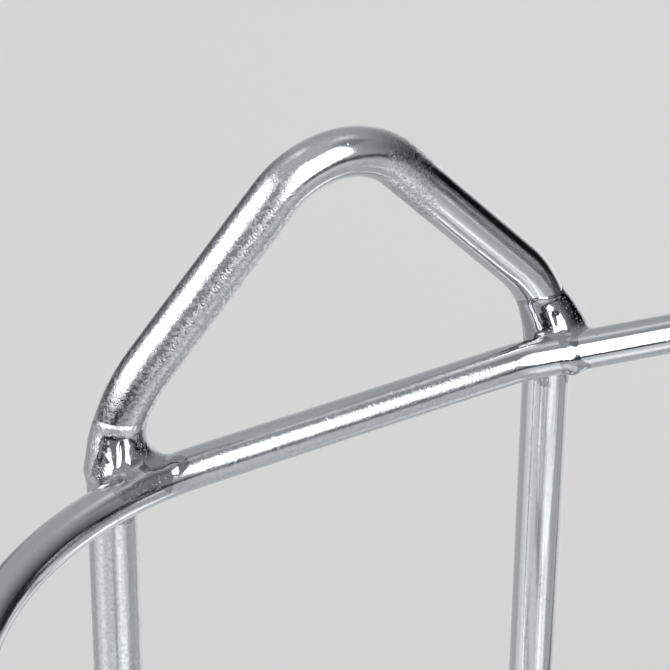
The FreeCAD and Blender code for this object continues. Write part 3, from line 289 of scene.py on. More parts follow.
def surface_nets(fn, lo, hi, step, polish=3):
    """Closed quad mesh of fn(points) = 0 inside the box lo..hi."""
    lo, hi = np.array(lo, float), np.array(hi, float)
    n = np.ceil((hi - lo) / step).astype(int) + 1
    axes = [lo[i] + step * np.arange(n[i]) for i in range(3)]
    gx, gy, gz = np.meshgrid(*axes, indexing="ij")
    pts = np.stack([gx.ravel(), gy.ravel(), gz.ravel()], 1)
    F = fn(pts).reshape(n)
    F[0], F[-1] = np.maximum(F[0], 0.01), np.maximum(F[-1], 0.01)
    F[:, 0], F[:, -1] = np.maximum(F[:, 0], 0.01), np.maximum(F[:, -1], 0.01)
    F[:, :, 0], F[:, :, -1] = np.maximum(F[:, :, 0], 0.01), np.maximum(F[:, :, -1], 0.01)
    neg = F < 0
    cs = np.zeros(n - 1, int)
    offs = [(i, j, k) for i in (0, 1) for j in (0, 1) for k in (0, 1)]
    for i, j, k in offs:
        cs += neg[i:n[0] - 1 + i, j:n[1] - 1 + j, k:n[2] - 1 + k]
    act = (cs > 0) & (cs < 8)
    idx = np.full(act.shape, -1)
    cell = np.argwhere(act)
    idx[act] = np.arange(len(cell))
    P, N = np.zeros((len(cell), 3)), np.zeros(len(cell))
    for a in offs:
        for ax in range(3):
            if a[ax] == 1:
                continue
            b = list(a); b[ax] = 1
            ca, cb = cell + np.array(a), cell + np.array(b)
            fa, fb = F[ca[:, 0], ca[:, 1], ca[:, 2]], F[cb[:, 0], cb[:, 1], cb[:, 2]]
            m = (fa < 0) != (fb < 0)
            t = np.where(m, fa / np.where(m, fa - fb, 1.0), 0)
            P[m] += np.array(a, float) + t[m, None] * (np.array(b, float) - np.array(a, float))
            N[m] += 1
    v = lo + (cell + P / N[:, None]) * step
    faces = []
    for ax in range(3):
        u, w = (ax + 1) % 3, (ax + 2) % 3
        sl0 = [slice(None)] * 3; sl1 = [slice(None)] * 3
        sl0[ax], sl1[ax] = slice(0, -1), slice(1, None)
        s0, s1 = neg[tuple(sl0)], neg[tuple(sl1)]
        cr = np.argwhere(s0 != s1)
        ok = (cr[:, u] > 0) & (cr[:, w] > 0) & (cr[:, u] < n[u] - 1) & (cr[:, w] < n[w] - 1)
        cr = cr[ok]
        def at(du, dw):
            c = cr.copy(); c[:, u] -= du; c[:, w] -= dw
            return idx[c[:, 0], c[:, 1], c[:, 2]]
        q = np.stack([at(1, 1), at(0, 1), at(0, 0), at(1, 0)], 1)
        inside_first = s0[cr[:, 0], cr[:, 1], cr[:, 2]]
        q[~inside_first] = q[~inside_first][:, ::-1]
        faces.append(q)
    faces = np.vstack(faces)
    e = step * 0.25
    for _ in range(polish):
        f0 = fn(v)
        g = np.stack([fn(v + np.eye(3)[i] * e) - fn(v - np.eye(3)[i] * e) for i in range(3)], 1) / (2 * e)
        g2 = np.maximum(np.einsum("ij,ij->i", g, g), 0.05)
        move = -(f0 / g2)[:, None] * g
        length = np.linalg.norm(move, axis=1)
        cap = np.minimum(1.0, 0.4 * step / np.maximum(length, 1e-9))
        v = v + move * cap[:, None]
    return v, [tuple(int(i) for i in q) for q in faces]


def weld_field(rods, centre, reach, k, lumps=(), rough=0.12, sink=0.12):
    """Level set of a weld: rods melted together with fillet k near centre, hidden just inside the bars further out.
    rods: [(polyline, radius)]; reach: half axes of the region; lumps: [(centre, half axes, blend)]."""
    centre, reach = np.array(centre, float), np.array(reach, float)

    def fn(p):
        d = [seg_dist(p, path) - r for path, r in rods]
        f = d[0]
        for other in d[1:]:
            f = smin(f, other, k)
        bare = np.minimum.reduce(d)
        for c, s, kk in lumps:
            f = smin(f, ellipsoid(p, c, s), kk)
        q = np.linalg.norm((p - centre) / reach, axis=1)
        fade = np.clip((q - 0.55) / 0.45, 0, 1)
        fade = fade * fade * (3 - 2 * fade)
        f = f + noise3(p * 0.55, 1.0) * rough * (1 - fade)
        f = f * (1 - fade) + (bare + sink) * fade
        return np.maximum(f, (q - 1.0) * reach.min())
    return fn


def moved(v, flip_x=False, flip_y=False):
    """Reflected copy of points, and whether faces must be turned."""
    s = np.array([-1.0 if flip_x else 1.0, -1.0 if flip_y else 1.0, 1.0])
    return v * s, flip_x != flip_y


# ------------------------------------------------------------------ materials
def new_mat(name):
    m = bpy.data.materials.new(name)
    m.use_nodes = True
    nt = m.node_tree
    nt.nodes.clear()
    out = nt.nodes.new("ShaderNodeOutputMaterial")
    bsdf = nt.nodes.new("ShaderNodeBsdfPrincipled")
    nt.links.new(bsdf.outputs[0], out.inputs[0])
    return m, nt, bsdf


def add(nt, kind, **props):
    n = nt.nodes.new(kind)
    for k, v in props.items():
        setattr(n, k, v)
    return n


def link(nt, a, b):
    nt.links.new(a, b)


def ramp(nt, fac, stops, mode="LINEAR"):
    n = add(nt, "ShaderNodeValToRGB")
    n.color_ramp.interpolation = mode
    els = n.color_ramp.elements
    while len(els) < len(stops):
        els.new(0.5)
    for e, (pos, col) in zip(els, stops):
        e.position = pos
        e.color = (*col, 1) if len(col) == 3 else col
    link(nt, fac, n.inputs[0])
    return n.outputs[0]


def maprange(nt, fac, a, b, c, d, smooth=False):
    n = add(nt, "ShaderNodeMapRange")
    if smooth:
        n.interpolation_type = "SMOOTHSTEP"
    link(nt, fac, n.inputs[0])
    n.inputs[1].default_value, n.inputs[2].default_value = a, b
    n.inputs[3].default_value, n.inputs[4].default_value = c, d
    return n.outputs[0]


def math_node(nt, op, a, b=None, clamp=False):
    n = add(nt, "ShaderNodeMath", operation=op)
    n.use_clamp = clamp
    for i, x in enumerate((a, b)):
        if x is None:
            continue
        if isinstance(x, (int, float)):
            n.inputs[i].default_value = x
        else:
            link(nt, x, n.inputs[i])
    return n.outputs[0]


def coords(nt, scale=1000.0, stretch=None):
    """Object coordinates in millimetres."""
    tc = add(nt, "ShaderNodeTexCoord")
    mp = add(nt, "ShaderNodeMapping")
    mp.inputs["Scale"].default_value = (scale, scale, scale) if stretch is None else tuple(scale * s for s in stretch)
    link(nt, tc.outputs["Object"], mp.inputs[0])
    return mp.outputs[0]


def noise(nt, vec, scale, detail=2.0, rough=0.5, kind="FBM", distortion=0.0):
    n = add(nt, "ShaderNodeTexNoise")
    n.noise_dimensions = "3D"
    try:
        n.noise_type = kind
    except TypeError:
        pass
    n.inputs["Scale"].default_value = scale
    n.inputs["Detail"].default_value = detail
    n.inputs["Roughness"].default_value = rough
    n.inputs["Distortion"].default_value = distortion
    link(nt, vec, n.inputs["Vector"])
    return n.outputs["Fac"]


def band(nt, v, lo, hi, soft):
    """1 where lo < v < hi, fading over soft on both sides."""
    return math_node(nt, "MULTIPLY", maprange(nt, v, lo - soft, lo + soft, 0.0, 1.0, True),
                     maprange(nt, v, hi - soft, hi + soft, 1.0, 0.0, True))


def zinc(name, base=(0.66, 0.675, 0.685), dark=(0.47, 0.49, 0.52), grain=1.0, rough=(0.06, 0.13), where=None,
         floor_grain=0.12, bump=0.045, specks=1.0, frosting=0.5, also=(), leg_grain=1.0):
    """Bright zinc plate on drawn bar: a mirror with long faint waves, grainy like frost in places, a few specks.
    where = (low, high, soft): the part of the bar, by its distance from the middle in mm, that is grainy."""
    m, nt, b = new_mat(name)
    v = coords(nt)
    sep = add(nt, "ShaderNodeSeparateXYZ")
    link(nt, v, sep.inputs[0])
    big = noise(nt, v, 0.045, 2, 0.5)            # patches, tens of millimetres
    fine = noise(nt, v, 2.3, 2, 0.55)            # grain, under half a millimetre
    crystal = noise(nt, v, 1.05, 3, 0.62)        # frost, about a millimetre
    wave = noise(nt, coords(nt, stretch=(1, 1, 1)), 0.13, 1, 0.5)
    patch = maprange(nt, big, 0.44, 0.60, 0.0, 1.0, True)
    if where:
        across = math_node(nt, "ABSOLUTE", sep.outputs[0])
        span = band(nt, across, *where)
        for extra in also:
            span = math_node(nt, "MAXIMUM", span, band(nt, across, *extra))
        span = math_node(nt, "MULTIPLY", span, maprange(nt, sep.outputs[2], 182, 204, leg_grain, 1.0, True))
        mask = math_node(nt, "MAXIMUM", span, math_node(nt, "MULTIPLY", patch, floor_grain * 1.6))
    else:
        mask = math_node(nt, "MULTIPLY", patch, 0.55)
    mask = math_node(nt, "MAXIMUM", mask, floor_grain)
    frost = math_node(nt, "MULTIPLY", maprange(nt, crystal, 0.45, 0.60, 0.0, 1.0, True), mask)
    pits = maprange(nt, noise(nt, v, 2.9, 1, 0.4), 0.60, 0.72, 0.0, 1.0, True)
    pits = math_node(nt, "MULTIPLY", pits, mask)
    mix = add(nt, "ShaderNodeMix", data_type="RGBA")
    link(nt, math_node(nt, "MULTIPLY", math_node(nt, "ADD", math_node(nt, "MULTIPLY", frost, 0.30), math_node(nt, "MULTIPLY", pits, 0.55)),
                       frosting, True), mix.inputs[0])
    mix.inputs[6].default_value = (*base, 1)
    mix.inputs[7].default_value = (*dark, 1)
    link(nt, mix.outputs[2], b.inputs["Base Color"])
    b.inputs["Metallic"].default_value = 1.0
    r = math_node(nt, "ADD", maprange(nt, fine, 0.3, 0.7, rough[0], rough[1]), math_node(nt, "MULTIPLY", mask, 0.04))
    r = math_node(nt, "ADD", r, math_node(nt, "MULTIPLY", frost, 0.30 * frosting))
    link(nt, r, b.inputs["Roughness"])
    # specks: sparse raised dots
    vo = add(nt, "ShaderNodeTexVoronoi")
    vo.inputs["Scale"].default_value = 0.30
    link(nt, v, vo.inputs["Vector"])
    dots = maprange(nt, vo.outputs["Distance"], 0.05, 0.13, 1.0, 0.0, True)
    grainy = math_node(nt, "ADD", math_node(nt, "MULTIPLY", fine, 0.55), math_node(nt, "MULTIPLY", crystal, 0.85))
    h = math_node(nt, "MULTIPLY", math_node(nt, "MULTIPLY", grainy, mask), grain)
    h = math_node(nt, "ADD", h, math_node(nt, "MULTIPLY", wave, 1.3))
    h = math_node(nt, "ADD", h, math_node(nt, "MULTIPLY", dots, 0.55 * specks))
    bp = add(nt, "ShaderNodeBump")
    bp.inputs["Strength"].default_value = 1.0
    bp.inputs["Distance"].default_value = bump * MM
    link(nt, h, bp.inputs["Height"])
    link(nt, bp.outputs[0], b.inputs["Normal"])
    return m


def weld_mat(name):
    """Zinc over run weld metal: a dark mirror with pin-prick bubbles, frosty round its upper edge on the outer legs."""
    m, nt, b = new_mat(name)
    v = coords(nt)
    sep = add(nt, "ShaderNodeSeparateXYZ")
    link(nt, v, sep.inputs[0])
    fine = noise(nt, v, 1.9, 2, 0.5)
    spots = noise(nt, v, 0.35, 2, 0.5)
    outer = maprange(nt, math_node(nt, "ABSOLUTE", sep.outputs[0]), 938, 942, 0.0, 1.0, True)
    wobble = math_node(nt, "MULTIPLY", math_node(nt, "SUBTRACT", spots, 0.5), 3.0)
    h = math_node(nt, "ADD", sep.outputs[2], wobble)
    across = math_node(nt, "ABSOLUTE", sep.outputs[0])
    drop = math_node(nt, "MULTIPLY", math_node(nt, "MAXIMUM", math_node(nt, "SUBTRACT", across, 1001.2), 0.0), 2.8)
    rim = math_node(nt, "MULTIPLY", band(nt, math_node(nt, "ADD", h, drop), 212.4, 260.0, 0.45),
                    maprange(nt, h, 218.0, 219.0, 1.0, 0.0, True))
    rim = math_node(nt, "MULTIPLY", rim, outer)
    low = math_node(nt, "MULTIPLY", band(nt, math_node(nt, "ABSOLUTE", sep.outputs[0]), 1000.8, 1012.0, 1.4),
                    maprange(nt, h, 205.5, 207.0, 1.0, 0.0, True))
    rim = math_node(nt, "MAXIMUM", rim, math_node(nt, "MULTIPLY", low, 0.5))
    cell = add(nt, "ShaderNodeTexVoronoi")
    cell.inputs["Scale"].default_value = 1.15
    link(nt, v, cell.inputs["Vector"])
    bubble = maprange(nt, cell.outputs["Distance"], 0.10, 0.24, 1.0, 0.0, True)
    bubble = math_node(nt, "MULTIPLY", bubble, maprange(nt, spots, 0.38, 0.48, 0.0, 1.0, True))
    mix = add(nt, "ShaderNodeMix", data_type="RGBA")
    link(nt, rim, mix.inputs[0])
    mix.inputs[6].default_value = (0.43, 0.44, 0.46, 1)
    mix.inputs[7].default_value = (0.74, 0.75, 0.76, 1)
    link(nt, mix.outputs[2], b.inputs["Base Color"])
    b.inputs["Metallic"].default_value = 1.0
    r = math_node(nt, "ADD", maprange(nt, spots, 0.4, 0.75, 0.05, 0.12), math_node(nt, "MULTIPLY", rim, 0.26))
    link(nt, r, b.inputs["Roughness"])
    grain = math_node(nt, "MULTIPLY", fine, math_node(nt, "ADD", 0.14, math_node(nt, "MULTIPLY", rim, 3.6)))
    grain = math_node(nt, "ADD", grain, math_node(nt, "MULTIPLY", bubble, 1.5))
    bp = add(nt, "ShaderNodeBump")
    bp.inputs["Strength"].default_value = 1.0
    bp.inputs["Distance"].default_value = 0.06 * MM
    link(nt, grain, bp.inputs["Height"])
    link(nt, bp.outputs[0], b.inputs["Normal"])
    return m


def webbing_mat(name, colour):
    """Woven webbing: UV in millimetres, u across the strap and v along it."""
    m, nt, b = new_mat(name)
    uv = add(nt, "ShaderNodeUVMap")
    uv.uv_map = "UVMap"
    sep = add(nt, "ShaderNodeSeparateXYZ")
    link(nt, uv.outputs[0], sep.inputs[0])
    u, w = sep.outputs[0], sep.outputs[1]
    # warp yarns run along the strap, each about 1.1 mm wide, with over-under herringbone steps
    su = math_node(nt, "SINE", math_node(nt, "MULTIPLY", u, 2 * math.pi / 1.15))
    sv = math_node(nt, "SINE", math_node(nt, "ADD", math_node(nt, "MULTIPLY", w, 2 * math.pi / 1.6),
                                        math_node(nt, "MULTIPLY", u, math.pi / 1.15)))
    yarn = math_node(nt, "ABSOLUTE", su)
    over = maprange(nt, sv, -1, 1, 0.25, 1.0)
    weave = math_node(nt, "MULTIPLY", yarn, over)
    fuzz = noise(nt, coords(nt), 2.2, 3, 0.7)
    tone = noise(nt, coords(nt), 0.02, 2, 0.5)
    # painted shade: the orange is painted darker where the weave is low, in the gaps between yarns and where a yarn
    # passes under, following the same height that drives the bump
    weave_gap_shade = tuple(x * 0.55 for x in colour)
    col = add(nt, "ShaderNodeMix", data_type="RGBA")
    link(nt, maprange(nt, weave, 0.05, 0.8, 0.0, 1.0), col.inputs[0])
    col.inputs[6].default_value = (*weave_gap_shade, 1)
    col.inputs[7].default_value = (*colour, 1)
    hs = add(nt, "ShaderNodeHueSaturation")
    link(nt, maprange(nt, tone, 0.3, 0.7, 0.88, 1.08), hs.inputs["Value"])
    link(nt, col.outputs[2], hs.inputs["Color"])
    link(nt, hs.outputs[0], b.inputs["Base Color"])
    link(nt, maprange(nt, fuzz, 0.3, 0.7, 0.62, 0.82), b.inputs["Roughness"])
    b.inputs["Sheen Weight"].default_value = 0.25
    b.inputs["Sheen Roughness"].default_value = 0.5
    h = math_node(nt, "ADD", weave, math_node(nt, "MULTIPLY", fuzz, 0.25))
    bp = add(nt, "ShaderNodeBump")
    bp.inputs["Strength"].default_value = 1.0
    bp.inputs["Distance"].default_value = 0.30 * MM
    link(nt, h, bp.inputs["Height"])
    link(nt, bp.outputs[0], b.inputs["Normal"])
    return m


def thread_mat(name, colour):
    m, nt, b = new_mat(name)
    n = noise(nt, coords(nt), 3.0, 2, 0.6)
    col = add(nt, "ShaderNodeMix", data_type="RGBA")
    link(nt, n, col.inputs[0])
    col.inputs[6].default_value = (*[x * 0.7 for x in colour], 1)
    col.inputs[7].default_value = (*colour, 1)
    link(nt, col.outputs[2], b.inputs["Base Color"])
    link(nt, maprange(nt, n, 0.3, 0.7, 0.5, 0.7), b.inputs["Roughness"])
    return m


def steel_mat(name, base, rough, along=(1, 0.04, 1), scratch=0.012, tint=0.85):
    """Satin steel: fine lines drawn out along one axis, faint clouding."""
    m, nt, b = new_mat(name)
    lines = noise(nt, coords(nt, stretch=along), 2.6, 3, 0.6)
    cloud = noise(nt, coords(nt), 0.10, 3, 0.55)
    col = add(nt, "ShaderNodeMix", data_type="RGBA")
    link(nt, maprange(nt, cloud, 0.35, 0.68, 0, 1, True), col.inputs[0])
    col.inputs[6].default_value = (*base, 1)
    col.inputs[7].default_value = (*[x * tint for x in base], 1)
    link(nt, col.outputs[2], b.inputs["Base Color"])
    b.inputs["Metallic"].default_value = 1.0
    link(nt, math_node(nt, "ADD", maprange(nt, lines, 0.3, 0.7, rough[0], rough[1]),
                       maprange(nt, cloud, 0.3, 0.7, 0.0, 0.06)), b.inputs["Roughness"])
    bp = add(nt, "ShaderNodeBump")
    bp.inputs["Strength"].default_value = 1.0
    bp.inputs["Distance"].default_value = scratch * MM
    link(nt, lines, bp.inputs["Height"])
    link(nt, bp.outputs[0], b.inputs["Normal"])
    return m


M_RAIL = zinc("zinc_rail", where=(896, 984, 9), grain=1.6, frosting=0.22)
M_HOOP = zinc("zinc_hoop", dark=(0.22, 0.24, 0.27), where=(950, 1200, 7), also=((913, 927, 3),), leg_grain=0.45, grain=2.1,
              frosting=0.9)
M_ROD = zinc("zinc_rod", rough=(0.10, 0.20), grain=0.8)
M_STRIP = zinc("zinc_strip", base=(0.62, 0.635, 0.65), rough=(0.16, 0.28), grain=0.8, bump=0.03)
M_WELD = weld_mat("weld_bead")
M_WEB = webbing_mat("webbing_orange", (0.78, 0.17, 0.025))
M_THREAD = thread_mat("thread_black", (0.035, 0.035, 0.04))
M_BUCKLE = steel_mat("buckle_pressed_steel", (0.66, 0.67, 0.68), (0.22, 0.36), along=(1, 0.05, 1))
M_LEVER = steel_mat("lever_brushed_steel", (0.70, 0.71, 0.72), (0.16, 0.30), along=(0.05, 1, 1))
M_PIN = steel_mat("pin_turned_steel", (0.60, 0.61, 0.62), (0.18, 0.30), along=(1, 1, 0.1))
M_SPRING = steel_mat("spring_wire", (0.38, 0.39, 0.41), (0.25, 0.40), along=(1, 0.2, 0.2))
M_PLATE = zinc("zinc_sheet", base=(0.64, 0.655, 0.67), grain=0.9, rough=(0.16, 0.30), bump=0.02)
M_CLAMP = steel_mat("clamp_machined", (0.66, 0.67, 0.69), (0.30, 0.44), along=(0.06, 1, 1), scratch=0.02)
M_SCREW = steel_mat("screw_plated", (0.62, 0.62, 0.63), (0.18, 0.30), along=(1, 1, 0.2))


# ------------------------------------------------------------------ bars
SIDES = 48
head_bow = densify(bow_route(RAIL_D, RAIL_Z), 20)
one_tube("head_rail_bow_bar", head_bow, RAIL_D / 2, SIDES, M_RAIL, "head_rail_bow", "zinc_rail", chamfer=0.3)
one_tube("foot_rail_bow_bar", densify(bow_route(RAIL_D, RAIL_Z, True), 20), RAIL_D / 2, SIDES, M_RAIL, "foot_rail_bow", "zinc_rail", chamfer=0.3)
for s, tag in ((1, "left"), (-1, "right")):
    y = s * (SKIN_Y - RAIL_D / 2)
    one_tube("side_rail_%s_bar" % tag, densify(np.array([(-JOINT_X, y, RAIL_Z), (JOINT_X, y, RAIL_Z)], float), 40),
             RAIL_D / 2, SIDES, M_RAIL, "side_rail_" + tag, "zinc_rail", chamfer=0.3)
    y = s * (SKIN_Y - LOW_D / 2)
    one_tube("lower_rail_%s_bar" % tag, densify(np.array([(-JOINT_X, y, LOW_Z), (JOINT_X, y, LOW_Z)], float), 40),
             LOW_D / 2, 32, M_ROD, "lower_rail_" + tag, "zinc_rod", chamfer=0.3)
one_tube("head_lower_bow_bar", densify(bow_route(LOW_D, LOW_Z), 25), LOW_D / 2, 32, M_ROD, "head_lower_bow", "zinc_rod", chamfer=0.3)
one_tube("foot_lower_bow_bar", densify(bow_route(LOW_D, LOW_Z, True), 25), LOW_D / 2, 32, M_ROD, "foot_lower_bow", "zinc_rod", chamfer=0.3)
one_tube("head_eyelet_hoop_bar", densify(hoop_route(), 20, True), RIB_D / 2, 56, M_HOOP, "head_eyelet_hoop", "zinc_hoop", closed=True)
one_tube("foot_eyelet_hoop_bar", densify(hoop_route(True), 20, True), RIB_D / 2, 56, M_HOOP, "foot_eyelet_hoop", "zinc_hoop", closed=True)
for name, x in (("rib_chest", -RIB_X), ("rib_middle", 0.0), ("rib_knee", RIB_X)):
    p = route([(x, -LEG_Y, RIB_TOP), (x, -LEG_Y, RIB_Z), (x, LEG_Y, RIB_Z), (x, LEG_Y, RIB_TOP)], [0, RIB_R, RIB_R, 0])
    one_tube(name + "_bar", densify(p, 30), RIB_D / 2, 40, M_HOOP, name, "zinc_hoop", chamfer=1.5)
for k in range(5):
    y = (2 - k) * PITCH
    p = route([(-BED_X, y, BED_TOP), (-BED_X, y, BED_Z), (BED_X, y, BED_Z), (BED_X, y, BED_TOP)], [0, BED_R, BED_R, 0])
    one_tube("bed_rod_%d_bar" % (k + 1), densify(p, 40), BED_D / 2, 28, M_ROD, "bed_rod_%d" % (k + 1), "zinc_rod", chamfer=1.0)
for s, tag in ((1, "left"), (-1, "right")):
    p = np.array([(-EDGE_X, s * EDGE_Y, BED_Z), (EDGE_X, s * EDGE_Y, BED_Z)], float)
    one_tube("bed_edge_rod_%s_bar" % tag, densify(p, 40), BED_D / 2, 28, M_ROD, "bed_edge_rod_" + tag, "zinc_rod", chamfer=0.4)
b = Build()
for k in range(33):
    x = (k - 16) * 60.0
    b.add(*tube(densify(np.array([(x, -228.0, WIRE_Z), (x, 228.0, WIRE_Z)]), 38), WIRE_D / 2, 16, chamfer=0.5))
b.make("bed_cross_wires_mesh", node="bed_cross_wires", slot="zinc_rod", mats=[M_ROD])


def runner(tag, s):
    """Flat bar with rounded long edges, turned up at both ends."""
    p = route([(-RUN_X, 0, RUN_TOP), (-RUN_X, 0, RUN_T / 2), (RUN_X, 0, RUN_T / 2), (RUN_X, 0, RUN_TOP)], [0, RUN_R, RUN_R, 0])
    p = densify(p, 40)
    t, _, _ = frames(p, False)
    nrm = np.cross(t, np.array([0, 1.0, 0]))
    prof = []
    r, w, h = 0.8, RUN_W / 2, RUN_T / 2
    for cx, cz, a0 in ((w - r, h - r, 0), (-w + r, h - r, 90), (-w + r, -h + r, 180), (w - r, -h + r, 270)):
        for q in (0, 30, 60, 90):
            a = math.radians(a0 + q)
            prof.append((cx + r * math.cos(a), cz + r * math.sin(a)))
    prof = np.array(prof)
    n, k = len(p), len(prof)
    v = p[:, None, :] + prof[None, :, 0, None] * np.array([0, 1.0, 0]) + prof[None, :, 1, None] * nrm[:, None, :]
    v = v.reshape(-1, 3)
    f = []
    for i in range(n - 1):
        for j in range(k):
            m = (j + 1) % k
            f.append((i * k + j, i * k + m, (i + 1) * k + m, (i + 1) * k + j))
    f.append(tuple(reversed(range(k))))
    f.append(tuple((n - 1) * k + j for j in range(k)))
    v[:, 1] += s * RUN_Y
    ob = mesh_object("runner_%s_strip" % tag, v, f, node="runner_" + tag, slot="zinc_strip", mats=[M_STRIP])
    ob.data.polygons[len(f) - 1].use_smooth = ob.data.polygons[len(f) - 2].use_smooth = False
    bm = bmesh.new(); bm.from_mesh(ob.data); bmesh.ops.recalc_face_normals(bm, faces=bm.faces); bm.to_mesh(ob.data); bm.free()
    return ob


runner("left", 1)
runner("right", -1)

# ------------------------------------------------------------------ welds at the eyelets
rail_path = np.vstack([bow_route(RAIL_D, RAIL_Z, turn=3.0)[::-1]])
rail_near = rail_path[rail_path[:, 1] > 150]
rail_near = np.vstack([rail_near, [[-820.0, SKIN_Y - RAIL_D / 2, RAIL_Z]]])
hoop_near = hoop_route(turn=4.0)
hoop_near = densify(np.vstack([hoop_near, hoop_near[:1]]), 60)
leg_in, leg_out = np.array([-JOINT_X, LEG_Y]), np.array([-OUT_X, OUT_Y])
eye_dir = (leg_in - leg_out) / np.linalg.norm(leg_in - leg_out)


def local_path(path, centre, radius):
    """The part of a polyline near a point."""
    near = np.linalg.norm(path - np.array(centre), axis=1) < radius
    idx = np.nonzero(near)[0]
    if len(idx) == 0:
        d = np.linalg.norm(path - np.array(centre), axis=1)
        i = int(d.argmin())
        return path[max(0, i - 1):i + 2]
    return path[max(0, idx.min() - 1):idx.max() + 2]


welds = Build()
STEP = 0.32


def nearest(p, path):
    """Distance to a polyline and the nearest point on it."""
    best, at = np.full(len(p), 1e18), np.zeros_like(p)
    for a, b in zip(path[:-1], path[1:]):
        ab = b - a
        t = np.clip(((p - a) @ ab) / (ab @ ab), 0, 1)
        c = a + t[:, None] * ab
        d = np.einsum("ij,ij->i", p - c, p - c)
        m = d < best
        best[m], at[m] = d[m], c[m]
    return np.sqrt(best), at


def collar_weld(leg_xy, edge_z, start, table, centre_off, reach, grooves=(), ring_x=None, marks=(), blend=3.0):
    """Weld metal run down the front of a leg onto the rail. A thin lip with a crisp top edge, then a fillet that
    leans outward to the rail. edge_z = (lowest height of the lip, its rise to the front left); start = height where
    the fillet begins; table = rows of (direction in plan, lip, straight lean, curved lean).
    grooves = [(direction, half width, depth, lowest, highest)] between runs of weld.
    marks = [(along x, turn, half length, half turn, height)]: low swellings on the rail."""
    c = np.array([leg_xy[0], leg_xy[1], RAIL_Z]) + np.array(centre_off)
    reach = np.array(reach, float)
    rp, hp = local_path(rail_near, c, 45), local_path(hoop_left, c, 60)
    tab = np.array(table, float)

    def fn(p):
        dh, ph = nearest(p, hp)
        dr, pr = nearest(p, rp)
        q = p - ph
        ang = np.degrees(np.arctan2(q[:, 1], q[:, 0]))
        lip_h, lean, curl = [np.interp(ang, tab[:, 0], tab[:, i]) for i in (1, 2, 3)]
        wob = noise3(p * 0.22, 5.0)
        edge = edge_z[0] + edge_z[1] * np.clip(np.cos(np.radians(ang + 125)), 0, 1)
        t = p[:, 2] - RAIL_Z
        u = np.clip(start - t + 0.5 * wob, 0, 10.0)
        u = u * u / (u + 0.8)
        thick = lip_h + lean * u + curl * u * u
        for g0, gw, gd, z0, z1 in grooves:
            at = np.clip((t - z0) / 1.5, 0, 1) * np.clip((z1 - t) / 1.5, 0, 1)
            thick = thick - gd * at * np.exp(-((ang - g0 - 4.0 * wob) / gw) ** 2)
        lip = np.clip((edge + 0.4 * wob - t) / 1.1, 0, 1)
        lip = lip * lip * (3 - 2 * lip)
        under = np.clip((t + 4.0) / 5.0, 0, 1)
        thick = thick * lip * under - 0.10 * (1 - lip)
        bar = dh - RIB_D / 2
        rr = np.full(len(p), RAIL_D / 2 - 0.07)
        if ring_x is not None:
            rr = rr + 0.30 * np.exp(-((p[:, 0] - ring_x) / 1.9) ** 2)
        turn = np.degrees(np.arctan2(p[:, 2] - pr[:, 2], -(p[:, 1] - pr[:, 1])))
        for mx, mt, hl, ht, h in marks:
            rr = rr + h * np.exp(-((p[:, 0] - mx) / hl) ** 2 - ((turn - mt) / ht) ** 2)
        f = smin(bar - thick, dr - rr, blend)
        f = f + noise3(p * 0.45, 1.0) * 0.06 + noise3(p * 1.6, 3.0) * 0.014
        bare = np.minimum(bar, dr - RAIL_D / 2)
        d = np.linalg.norm((p - c) / reach, axis=1)
        fade = np.clip((d - 0.72) / 0.28, 0, 1)
        fade = fade * fade * (3 - 2 * fade)
        f = f * (1 - fade) + (bare + 0.14) * fade
        return np.maximum(f, (d - 1.0) * reach.min())
    return surface_nets(fn, c - reach - 0.6, c + reach + 0.6, STEP)


def eyelet_weld(leg_xy, out_dir, lumps, k, reach, centre_off, step, rail, rail_r, z):
    c = np.array([leg_xy[0], leg_xy[1], z]) + np.array(centre_off)
    rp = local_path(rail, c, 45)
    hp = local_path(hoop_left, c, 60)
    fn = weld_field([(rp, rail_r), (hp, RIB_D / 2)], c, reach, k, lumps)
    return surface_nets(fn, c - np.array(reach) - 0.6, c + np.array(reach) + 0.6, step)


hoop_all = hoop_route(turn=4.0)
hoop_left = densify(hoop_all[hoop_all[:, 1] > 100], 30)


corner = []
# inner leg, top rail: the fuller side is towards the side rail; a drop of metal hangs under the rail
corner.append(collar_weld(leg_in, (14.2, 1.4), 13.6,
                          [(-180, 0.20, 0.0, 0.0), (-140, 0.3, 0.14, 0.0), (-112, 0.4, 0.36, 0.006), (-85, 0.4, 0.44, 0.012),
                           (-45, 0.4, 0.42, 0.004), (0, 0.3, 0.34, 0.0), (60, 0.1, 0.0, 0.0), (180, 0.2, 0.0, 0.0)],
                          (3.5, -6.0, 1.5), (19, 15, 20), grooves=[(-84, 6.0, 0.40, -2.0, 11.0)], blend=2.4,
                          ring_x=-JOINT_X, marks=((-JOINT_X + 1.6, -40.0, 2.2, 26.0, 0.85),)))
# outer leg, top rail: a crescent of spatter further along, a frosty smear on the other side
corner.append(collar_weld(leg_out, (12.6, 3.2), 12.6,
                          [(-180, 0.35, 0.05, 0.0), (-150, 0.4, 0.17, 0.0), (-125, 0.4, 0.24, 0.0), (-106, 0.4, 0.36, 0.010), (-90, 0.35, 0.38, 0.024),
                           (-45, 0.3, 0.20, 0.040), (0, 0.25, 0.05, 0.053), (45, 0.1, 0.0, 0.03), (90, 0.0, 0.0, 0.0),
                           (180, 0.35, 0.0, 0.0)],
                          (5.0, -5.0, 2.0), (23, 16, 19), grooves=[(-95, 5.0, 0.40, 0.0, 11.5)], blend=4.2,
                          marks=((-OUT_X + 13.5, 62.0, 1.5, 20.0, 0.40), (-OUT_X + 5.0, 64.0, 6.0, 30.0, 0.45), (-OUT_X - 4.5, 30.0, 3.4, 34.0, 0.18))))
low_path = bow_route(LOW_D, LOW_Z, turn=3.0)[::-1]
low_near = np.vstack([low_path[low_path[:, 1] > 150], [[-820.0, SKIN_Y - LOW_D / 2, LOW_Z]]])
for leg in (leg_in, leg_out):
    corner.append(eyelet_weld(leg, 1, [], 7.0, (11, 11, 11), (0, -5, 0), 0.55, low_near, LOW_D / 2, LOW_Z))

